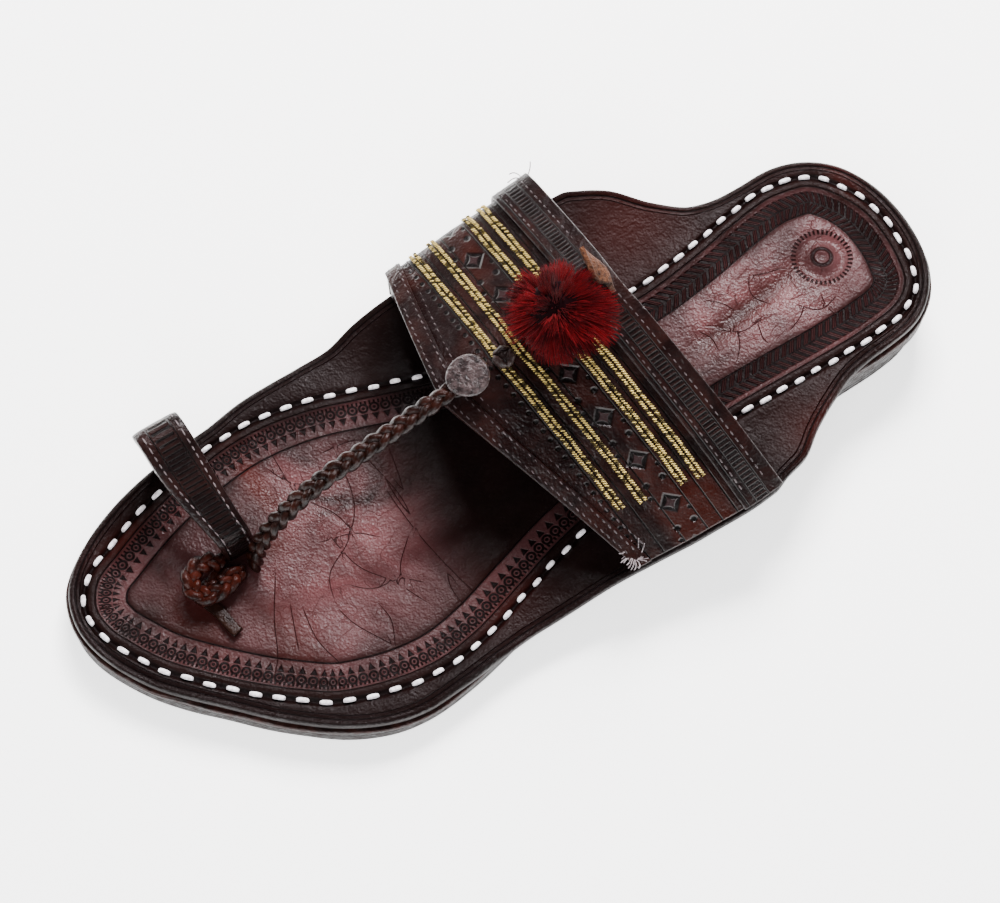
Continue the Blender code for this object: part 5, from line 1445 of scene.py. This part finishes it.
def make_toe_loop(sizes):
    """The big toe loop: a rounded strap section carried along its arch."""
    steps = 240
    reach = np.linspace(0, 1, steps)
    across, rise, lean = smooth_table(LOOP_ARCH, reach).T
    x = LOOP_MEDIAL_X + (LOOP_THONG_X - LOOP_MEDIAL_X) * across
    y = LOOP_MEDIAL_Y + (LOOP_THONG_Y - LOOP_MEDIAL_Y) * reach - lean
    path = np.column_stack([x, y, insole_top(x, y) + LAYER_GAP + LOOP_HEIGHT * rise])
    path = np.column_stack([np.convolve(np.pad(path[:, k], 3, mode="edge"), np.ones(7) / 7, "valid")
                            for k in range(3)])
    ahead = np.gradient(path, axis=0)
    ahead[:, 1] = 0
    ahead = unit(ahead)
    out = np.column_stack([-ahead[:, 2], np.zeros(steps), ahead[:, 0]])
    run = np.array([LOOP_THONG_X - LOOP_MEDIAL_X, LOOP_THONG_Y - LOOP_MEDIAL_Y])
    run /= np.linalg.norm(run)
    wide = np.array([-run[1], run[0], 0.0])
    taper = ease(0.45, 0.90, reach)
    width = LOOP_WIDTH + (LOOP_THONG_WIDTH - LOOP_WIDTH) * taper
    turn = circle(64)
    box_w = np.sign(np.cos(turn)) * abs(np.cos(turn)) ** 0.22
    box_t = np.sign(np.sin(turn)) * abs(np.sin(turn)) ** 0.30
    off = width[:, None] / 2 * box_w
    crown = 0.00025 * (1 - box_w**2) * (box_t > 0)
    lift = LOOP_THICKNESS / 2 * (1 + box_t) + crown
    rings = path[:, None, :] + wide * off[..., None] + out[:, None, :] * lift[..., None]
    floor = insole_top(rings[..., 0], rings[..., 1])
    rings[..., 2] = np.maximum(rings[..., 2], floor)
    walked = path_length(path)
    uv = np.stack([np.repeat(walked[:, None], 64, 1), off], -1)
    uv = np.concatenate([uv[:1], uv, uv[-1:]])
    points, faces, _ = capped(rings)
    hide = band_hide("loop_tooled_hide", linear("#0d0505"), linear("#1d0c0a"), linear("#1b0906"), loop_marks)
    put_piece("toe_loop_strap", points, faces, hide, "dark_leather", "toe_loop",
              maps=(("span", uv.reshape(-1, 2)),))
    shells = []
    for side in (-1, 1):
        middles = np.arange(0.004, walked[-1] - 0.003, 0.0024)
        for middle in middles:
            walk = middle + np.linspace(-0.00085, 0.00085, 5)
            centre = np.column_stack([np.interp(walk, walked, path[:, k]) for k in range(3)])
            normal = np.column_stack([np.interp(walk, walked, out[:, k]) for k in range(3)])
            half = np.interp(walk, walked, width) / 2 - 0.0019
            line = centre + wide * (side * half)[:, None] + normal * (LOOP_THICKNESS + 0.00012)
            fat = 0.00024 * np.sqrt(np.clip(1 - np.linspace(-1, 1, 5) ** 2, 0.01, 1))
            shells.append(uncapped(tube(line, np.tile(wide, (5, 1)), normal, fat, fat, 5)))
    points, faces, _ = joined(shells)
    put_piece("loop_threads", points, faces,
              cotton_thread("grey_waxed_cotton", linear("#6a5e60"), linear("#2a1e20")), "dark_leather",
              closed=True)


def spun(profile, sides):
    """A profile of radius and height turned round Z."""
    radius, height = np.array(profile).T
    turn = circle(sides)
    return np.stack([radius[:, None] * np.cos(turn), radius[:, None] * np.sin(turn),
                     np.repeat(height[:, None], sides, 1)], -1)


def make_button(sizes):
    """The button: a domed disc with a rolled rim over a wrapped stem, and the plaited bead."""
    rim = [(0.0, 0.0062), (0.0035, 0.00615), (0.0052, 0.0060), (0.0060, 0.0058), (0.00635, 0.0054),
           (0.0064, 0.0051), (0.0062, 0.0048), (0.0056, 0.0047), (0.0030, 0.0047), (0.0028, 0.0040),
           (0.0030, 0.0025), (0.0028, 0.0012), (0.0031, 0.0), (0.0, 0.0)]
    fine = smooth_path(np.column_stack([np.array(rim), np.zeros(len(rim))]), 70)[:, :2]
    fine[:, 0] = np.clip(fine[:, 0], 0, None)
    cloud = spun(fine, 48)
    angle = np.arctan2(cloud[..., 1], cloud[..., 0])
    dents = 0.00012 * value_noise(cloud[..., 0], cloud[..., 1], 0.0018, 51)
    cloud[..., 2] += np.where(cloud[..., 2] > 0.0058, dents, 0)
    cloud[..., :2] *= (1 + 0.02 * np.sin(3 * angle + 0.6))[..., None]
    place, axes = ridge_place(0.0102, BAND_THICKNESS + LAYER_GAP)
    put_piece("round_button", *closed_grid(cloud @ axes + place), waxed_button(), "button_leather", "button")
    radius, squash = 0.0034, 0.66
    turn = np.linspace(0, math.tau, 140)
    shells = []
    for k in range(3):
        lean = 0.75 * np.sin(3 * turn + k * 2.1)
        line = np.column_stack([np.cos(turn + k) * np.cos(lean), np.sin(turn + k) * np.cos(lean),
                                np.sin(lean)])
        line *= (radius - 0.0007) * (1 + 0.05 * np.cos(7 * turn))[:, None]
        line[:, 2] *= squash
        normal = unit(line)
        side = unit(np.cross(np.gradient(line, axis=0), normal))
        rings = tube(line, side, normal, np.full(140, 0.0009), np.full(140, 0.00065), 8)
        shells.append(capped(rings, 0.5))
    core = spun([(0, -0.0022), (0.0016, -0.0018), (0.0026, 0), (0.0016, 0.0018), (0, 0.0022)], 20)
    core[..., 2] *= squash
    points, faces, crown = joined([*shells, uncapped(core)])
    place, axes = ridge_place(0.0218, BAND_THICKNESS + LAYER_GAP + 0.0036 * 0.62)
    put_piece("plaited_bead", points @ axes + place, faces,
              braid_hide("waxed_bead_lace", linear("#120a09"), linear("#3a2a28")), "button_leather", "bead",
              values=(("crown", crown),))


ROSETTE_SECTION = (
    # share of the radius, height
    (0.00, 0.0013), (0.60, 0.0013), (0.90, 0.0012), (1.00, 0.0009), (1.00, 0.0003), (0.95, 0.0000),
    (0.00, 0.0000),
)


def make_rosette(sizes):
    """The toothed disc under the pompom: its radius goes in and out with a flattened sine."""
    count, rows = 240, []
    turn = circle(count)
    tooth = 0.0118 - 0.0010 * (0.5 + 0.5 * np.sign(np.sin(30 * turn)) * abs(np.sin(30 * turn)) ** 0.5)
    for radius, z in ROSETTE_SECTION:
        rows.append(np.column_stack([radius * tooth * np.cos(turn), radius * tooth * np.sin(turn),
                                     np.full(count, z)]))
    lift = BAND_THICKNESS + REAR_STRIP_THICKNESS + 2 * LAYER_GAP
    place, axes = ridge_place(POMPOM_PLACE, lift)
    put_piece("toothed_rosette", *closed_grid(np.stack(rows) @ axes + place),
              edge_hide("pinked_rosette_hide", linear("#1d1110"), linear("#3b2826"), 0.4, 0.6),
              "dark_leather", "rosette")


def make_pompom(sizes):
    """The pompom: thousands of tapered yarns that spring from its tie, bend over and part along
    a line; each is a thin three-sided tube p(t) = r t out, with droop growing as t squared."""
    count, steps, squash, under = 5200, 7, 0.70, 0.0092
    k = np.arange(count) + 0.5
    z = 1 - 1.90 * k / count
    turn = math.pi * (3 - math.sqrt(5)) * k
    flat = np.sqrt(np.clip(1 - z * z, 0, 1))
    away = np.column_stack([flat * np.cos(turn), flat * np.sin(turn), z])
    chance = np.sin(k * 12.9898) * 43758.5453
    chance -= np.floor(chance)
    other = np.sin(k * 78.233 + 1.7) * 12543.123
    other -= np.floor(other)
    third = np.sin(k * 37.719 + 4.1) * 7543.77
    third -= np.floor(third)
    tufts = 58
    lock = np.arange(tufts) + 0.5
    high = 1 - 1.85 * lock / tufts
    round_turn = math.pi * (3 - math.sqrt(5)) * lock * 1.03 + 0.7
    rim = np.sqrt(np.clip(1 - high**2, 0, 1))
    locks = np.column_stack([rim * np.cos(round_turn), rim * np.sin(round_turn), high])
    nearest = np.argmax(away @ locks.T, axis=1)
    pull = 0.40 + 0.15 * np.sin(nearest * 2.7)
    away = away * (1 - pull)[:, None] + locks[nearest] * pull[:, None]
    away += 0.22 * np.column_stack([chance - 0.5, other - 0.5, third - 0.5])
    away += np.array([0.16, -0.02, 0.0]) * (away[:, :1] > 0.2)
    away = unit(away)
    flatter = 1 - 0.14 * np.clip(away[:, 2], 0, 1)
    reach = 0.0150 * (0.80 + 0.22 * chance + 0.10 * np.sin(nearest * 1.9)) * flatter
    stray = away[:, 0] * 0.70 + away[:, 1] * 0.71
    reach = reach * (1 + 0.30 * np.clip(stray, 0, 1) ** 5)
    share = np.linspace(0.10, 1.0, steps)
    line = away[:, None, :] * (reach[:, None] * share[None, :])[..., None]
    swirl = np.column_stack([-away[:, 1], away[:, 0], np.zeros(count)])
    bend = 0.0030 * (other - 0.5) + 0.0026 * np.sin(nearest * 3.1)
    line += swirl[:, None, :] * (bend[:, None] * share[None, :] ** 2)[..., None]
    line[..., 2] *= squash
    line[..., 2] -= 0.0016 * flat[:, None] * share[None, :] ** 2
    ahead = unit(np.gradient(line, axis=1))
    side = unit(np.cross(ahead, np.array([0.31, 0.17, 0.93])))
    up = np.cross(side, ahead)
    thick = 0.00019 * (1 - 0.72 * share**3)
    cloud = tube(line, side, up, thick, thick, 3)
    faces = faces_of_each(grid_faces(steps, 3, wrap_columns=True), count, steps * 3)
    # Each yarn's own tone, darker towards its root as painted shade inside the pompom and lighter at its tip
    # as painted light
    shade = np.clip(0.10 + 0.45 * third**2 + 0.35 * (0.5 + 0.5 * np.sin(nearest * 5.3)), 0, 1)
    shade = shade[:, None] * (0.20 + 0.80 * share[None, :])
    shade = np.repeat(shade[..., None], 3, -1)
    core = spun([(0.0, -0.0085), (0.0050, -0.0070), (0.0088, 0.0), (0.0060, 0.0062), (0.0, 0.0078)], 28)
    core[..., 2] *= squash
    lift = BAND_THICKNESS + REAR_STRIP_THICKNESS + 3 * LAYER_GAP + 0.0013
    place, axes = ridge_place(POMPOM_PLACE, lift + under)
    # The core takes the value 0, the darkest red: painted shade at the pompom's heart
    points, faces, shade = joined([(cloud.reshape(-1, 3), faces, shade.ravel()), uncapped(core)])
    points[:, 2] = np.maximum(points[:, 2], -under)
    put_piece("wool_pompom", points @ axes + place, faces, wool_yarn(), "red_wool", "pompom",
              values=(("strand_tone_and_shade", shade),), closed=True)


def make_rear_tab(sizes):
    """The folded tab behind the pompom, flesh side out, its free corner curled over."""
    width = float(band_width(np.array(0.0)))
    place, axes = ridge_place(width - 0.0050, BAND_THICKNESS + REAR_STRIP_THICKNESS + 2 * LAYER_GAP)
    rows, columns = 30, 24
    t, u = np.meshgrid(np.linspace(0, 1, rows), np.linspace(-1, 1, columns), indexing="ij")
    half = 0.0068 * (1 - 0.30 * t**1.5)
    x = half * u - 0.0046 - 0.0008 * t
    fold = ease(0.35, 1.0, t) * ease(-0.9, 0.8, u)
    y = 0.0016 * np.sin(t * math.pi) * (1 - u**2) - 0.0028 * fold + 0.0006 * np.sin(u * 2.4) - 0.0006 * t
    z = 0.0118 * t - 0.0026 * fold * t + 0.0006 * np.sin(u * 3.0 + 1.0) * t
    front = np.stack([x, y, z], -1)
    back = np.stack([x, y + 0.0014, z], -1)
    cloud = np.concatenate([front, back[:, ::-1]], axis=1)
    cloud = np.concatenate([np.repeat(cloud[:1].mean(1)[:, None], cloud.shape[1], 1), cloud,
                            np.repeat(cloud[-1:].mean(1)[:, None], cloud.shape[1], 1)])
    put_piece("folded_tab", *closed_grid(cloud @ axes + place), flesh_hide(), "tan_leather", "rear_tab")


def make_loose_threads(sizes):
    """Frayed ends of sewing thread at the band's front outer and rear inner corners."""
    shells = []
    for span, rear, count, reach, seed in ((0.0722, 0.0466, 32, 0.0054, 3), (-0.0500, 0.0020, 3, 0.0090, 8)):
        root = band_line(np.array([span]), np.array([rear]), BAND_THICKNESS)[0]
        for k in range(count):
            a = math.sin(seed * 12.3 + k * 7.7) * 3.1
            b = math.sin(seed * 5.1 + k * 3.3)
            away = np.array([math.cos(a), math.sin(a), 0.35 + 0.5 * abs(b)])
            away /= np.linalg.norm(away)
            t = np.linspace(0, 1, 14)
            bend = np.column_stack([np.sin(t * 3 + a), np.cos(t * 2.3 + b), np.sin(t * 4 + a * b) * 0.6])
            line = root + away * (reach * (0.5 + 0.5 * abs(b)) * t)[:, None] + bend * (0.0011 * t)[:, None]
            side, up = carried_axes(line, (0.1, 0.2, 1.0))
            rings = tube(line, side, up, np.full(14, 0.00016), np.full(14, 0.00016), 4)
            shells.append(capped(rings))
    points, faces, _ = joined(shells)
    put_piece("frayed_threads", points, faces,
              cotton_thread("frayed_grey_cotton", linear("#968b8e"), linear("#4b3f41")), "dark_leather",
              closed=True)


CAMERA_PLACE = (0.44658, -0.32719, 1.14819)
CAMERA_AIM = (-0.00074, -0.00515, 0.0150)
CAMERA_ROLL = 3.30
CAMERA_LENS = 157.0


def facing(place, aim, roll=0.0):
    """The turn that looks from one place at another, rolled about its own axis, in degrees."""
    back = (Vector(place) - Vector(aim)).normalized()
    right = Vector((0, 0, 1)).cross(back).normalized()
    up = back.cross(right)
    c, s = math.cos(math.radians(roll)), math.sin(math.radians(roll))
    turned = (right * c + up * s, up * c - right * s, back)
    return Matrix(turned).transposed().to_quaternion()


def area_light(name, place, aim, size, power, colour, shines=True):
    """A soft box that lights one place from another; one that doesn't shine only lights matt."""
    data = bpy.data.lights.new(name, "AREA")
    data.shape = "RECTANGLE"
    data.size, data.size_y = size
    data.energy = power
    data.color = colour
    made = bpy.data.objects.new(name, data)
    made.rotation_mode = "QUATERNION"
    made.location = place
    made.rotation_quaternion = facing(place, aim)
    made.visible_glossy = shines
    bpy.context.scene.collection.objects.link(made)
    return made


def make_stage(sizes):
    """A wide flat floor of matt paper, soft boxes, an even room light and the camera."""
    side = np.linspace(-1, 1, 25)
    u, v = np.meshgrid(side, side, indexing="ij")
    reach = 7.0
    points = np.stack([u * reach, v * reach, 0 * u], -1).reshape(-1, 3)
    floor = new_object("paper_floor", points - CENTRE, grid_faces(25, 25),
                       seamless_paper(tuple(sizes.floor_colour)))
    aim = (0.0, 0.0, 0.02)
    key = sizes.key_power
    area_light("key_box", (-0.72, 0.52, 1.00), aim, (0.60, 0.60), key, (1.0, 0.985, 0.97), shines=False)
    area_light("fill_box", (0.85, -0.75, 1.20), aim, (1.2, 1.2), key * 0.45, (0.98, 0.985, 1.0), shines=False)
    area_light("gloss_box", (-0.50, 0.62, 0.95), (0.0, 0.02, 0.02), (0.26, 0.16), key * 0.14,
               (1.0, 0.93, 0.96))
    area_light("toe_gloss_box", (-0.62, 0.10, 1.05), (0.0, -0.05, 0.02), (0.14, 0.14), key * 0.03,
               (1.0, 0.93, 0.95))
    area_light("side_gloss_box", (0.70, -0.70, 0.55), aim, (0.30, 0.60), key * 0.06, (0.97, 0.98, 1.0))
    world = bpy.data.worlds.new("even_room")
    world.use_nodes = True
    sky = world.node_tree.nodes["Background"]
    sky.inputs["Color"].default_value = (0.96, 0.97, 1.0, 1.0)
    sky.inputs["Strength"].default_value = sizes.room_light
    world.cycles_visibility.glossy = False
    bpy.context.scene.world = world
    data = bpy.data.cameras.new("studio_camera")
    data.lens = CAMERA_LENS
    data.sensor_width = 36.0
    data.clip_start, data.clip_end = 0.05, 20.0
    camera = bpy.data.objects.new("studio_camera", data)
    camera.rotation_mode = "QUATERNION"
    camera.location = Vector(CAMERA_PLACE) + Vector(CENTRE)
    camera.rotation_quaternion = facing(CAMERA_PLACE, CAMERA_AIM, CAMERA_ROLL)
    bpy.context.scene.collection.objects.link(camera)
    bpy.context.scene.camera = camera


def colour_property(name, description, hex_code):
    """A colour that the panel shows, with a hex sRGB default."""
    return bpy.props.FloatVectorProperty(name=name, description=description, subtype="COLOR", size=4,
                                         min=0.0, max=1.0, default=linear(hex_code))


class SandalSizes(bpy.types.PropertyGroup):
    """Sizes and colours of the sandal that a user would change."""

    stitch_pitch: bpy.props.FloatProperty(
        name="Stitch pitch", description="Distance between two white stitches along their line",
        default=0.0063, min=0.003, max=0.012, unit="LENGTH")
    stitch_length: bpy.props.FloatProperty(
        name="Stitch length", description="Length of one white stitch",
        default=0.0035, min=0.001, max=0.008, unit="LENGTH")
    stitch_colour: colour_property("Stitches", "Waxed cotton of the hand stitches", "#fbf7fa")
    footbed_dark: colour_property("Footbed", "Dyed and oiled hide of the footbed", "#150807")
    footbed_worn: colour_property("Footbed, faded", "Where the dye of the footbed has faded", "#63383a")
    band_colour: colour_property("Band", "Dyed hide of the instep band", "#0f0505")
    sole_colour: colour_property("Sole edge", "Burnished edge of the sole and heel", "#0c0706")
    floor_colour: colour_property("Floor", "Paper that the sandal stands on", "#fbfbfa")
    key_power: bpy.props.FloatProperty(
        name="Key light", description="Power of the main soft box", default=62.0, min=0.0, unit="POWER")
    room_light: bpy.props.FloatProperty(
        name="Room light", description="Strength of the even light from all round", default=0.60, min=0.0)


def build(makers, context):
    """Runs the makers of an operator with the scene's sizes."""
    for maker in makers:
        maker(context.scene.sandal_sizes)
    return {"FINISHED"}


class SANDAL_OT_footbed(bpy.types.Operator):
    """Builds the tooled and creased footbed with its side ears"""

    bl_idname = "sandal.footbed"
    bl_label = "Footbed"

    def execute(self, context):
        return build([make_footbed], context)


class SANDAL_OT_stitches(bpy.types.Operator):
    """Builds the white hand stitches round the footbed"""

    bl_idname = "sandal.stitches"
    bl_label = "White stitches"

    def execute(self, context):
        return build([make_white_stitches], context)


class SANDAL_OT_soles(bpy.types.Operator):
    """Builds the outsole, the welt and the heel block"""

    bl_idname = "sandal.soles"
    bl_label = "Soles and heel"

    def execute(self, context):
        return build([make_sole_layers, make_heel_block], context)


class SANDAL_OT_band(bpy.types.Operator):
    """Builds the instep band with its two borders and their thread rows"""

    bl_idname = "sandal.band"
    bl_label = "Instep band"

    def execute(self, context):
        return build([make_band, make_band_threads, make_loose_threads], context)


class SANDAL_OT_zari(bpy.types.Operator):
    """Builds the gold cords couched over the band"""

    bl_idname = "sandal.zari"
    bl_label = "Gold cords"

    def execute(self, context):
        return build([make_zari], context)


class SANDAL_OT_thong(bpy.types.Operator):
    """Builds the plaited thong and its hitch at the toe"""

    bl_idname = "sandal.thong"
    bl_label = "Plaited thong"

    def execute(self, context):
        return build([make_thong, make_toe_knot], context)


class SANDAL_OT_toe_loop(bpy.types.Operator):
    """Builds the big toe loop"""

    bl_idname = "sandal.toe_loop"
    bl_label = "Toe loop"

    def execute(self, context):
        return build([make_toe_loop], context)


class SANDAL_OT_trims(bpy.types.Operator):
    """Builds the button, the bead, the toothed rosette and the folded tab"""

    bl_idname = "sandal.trims"
    bl_label = "Button, bead, rosette and tab"

    def execute(self, context):
        return build([make_button, make_rosette, make_rear_tab], context)


class SANDAL_OT_pompom(bpy.types.Operator):
    """Builds the wool pompom yarn by yarn"""

    bl_idname = "sandal.pompom"
    bl_label = "Wool pompom"

    def execute(self, context):
        return build([make_pompom], context)


class SANDAL_OT_stage(bpy.types.Operator):
    """Builds the floor, the soft boxes and the camera"""

    bl_idname = "sandal.stage"
    bl_label = "Stage"

    def execute(self, context):
        return build([make_stage], context)


OPERATORS = (SANDAL_OT_soles, SANDAL_OT_footbed, SANDAL_OT_stitches, SANDAL_OT_band, SANDAL_OT_zari,
             SANDAL_OT_thong, SANDAL_OT_toe_loop, SANDAL_OT_trims, SANDAL_OT_pompom, SANDAL_OT_stage)


class SANDAL_PT_builder(bpy.types.Panel):
    """Lists the sandal's sizes and the operators that build it"""

    bl_idname = "SANDAL_PT_builder"
    bl_label = "Kolhapuri Sandal"
    bl_space_type = "VIEW_3D"
    bl_region_type = "UI"
    bl_category = "Sandal"

    def draw(self, context):
        for name in SandalSizes.__annotations__:
            self.layout.prop(context.scene.sandal_sizes, name)
        for operator in OPERATORS:
            self.layout.operator(operator.bl_idname)


def register():
    """Adds the sizes, the operators and the panel to Blender."""
    for made in (SandalSizes, *OPERATORS, SANDAL_PT_builder):
        bpy.utils.register_class(made)
    bpy.types.Scene.sandal_sizes = bpy.props.PointerProperty(type=SandalSizes)


def unregister():
    """Takes them out again."""
    del bpy.types.Scene.sandal_sizes
    for made in reversed((SandalSizes, *OPERATORS, SANDAL_PT_builder)):
        bpy.utils.unregister_class(made)


def main():
    """Builds every piece in order."""
    register()
    bpy.ops.sandal.soles()
    bpy.ops.sandal.footbed()
    bpy.ops.sandal.stitches()
    bpy.ops.sandal.band()
    bpy.ops.sandal.zari()
    bpy.ops.sandal.thong()
    bpy.ops.sandal.toe_loop()
    bpy.ops.sandal.trims()
    bpy.ops.sandal.pompom()
    bpy.ops.sandal.stage()


if __name__ == "__main__":
    main()
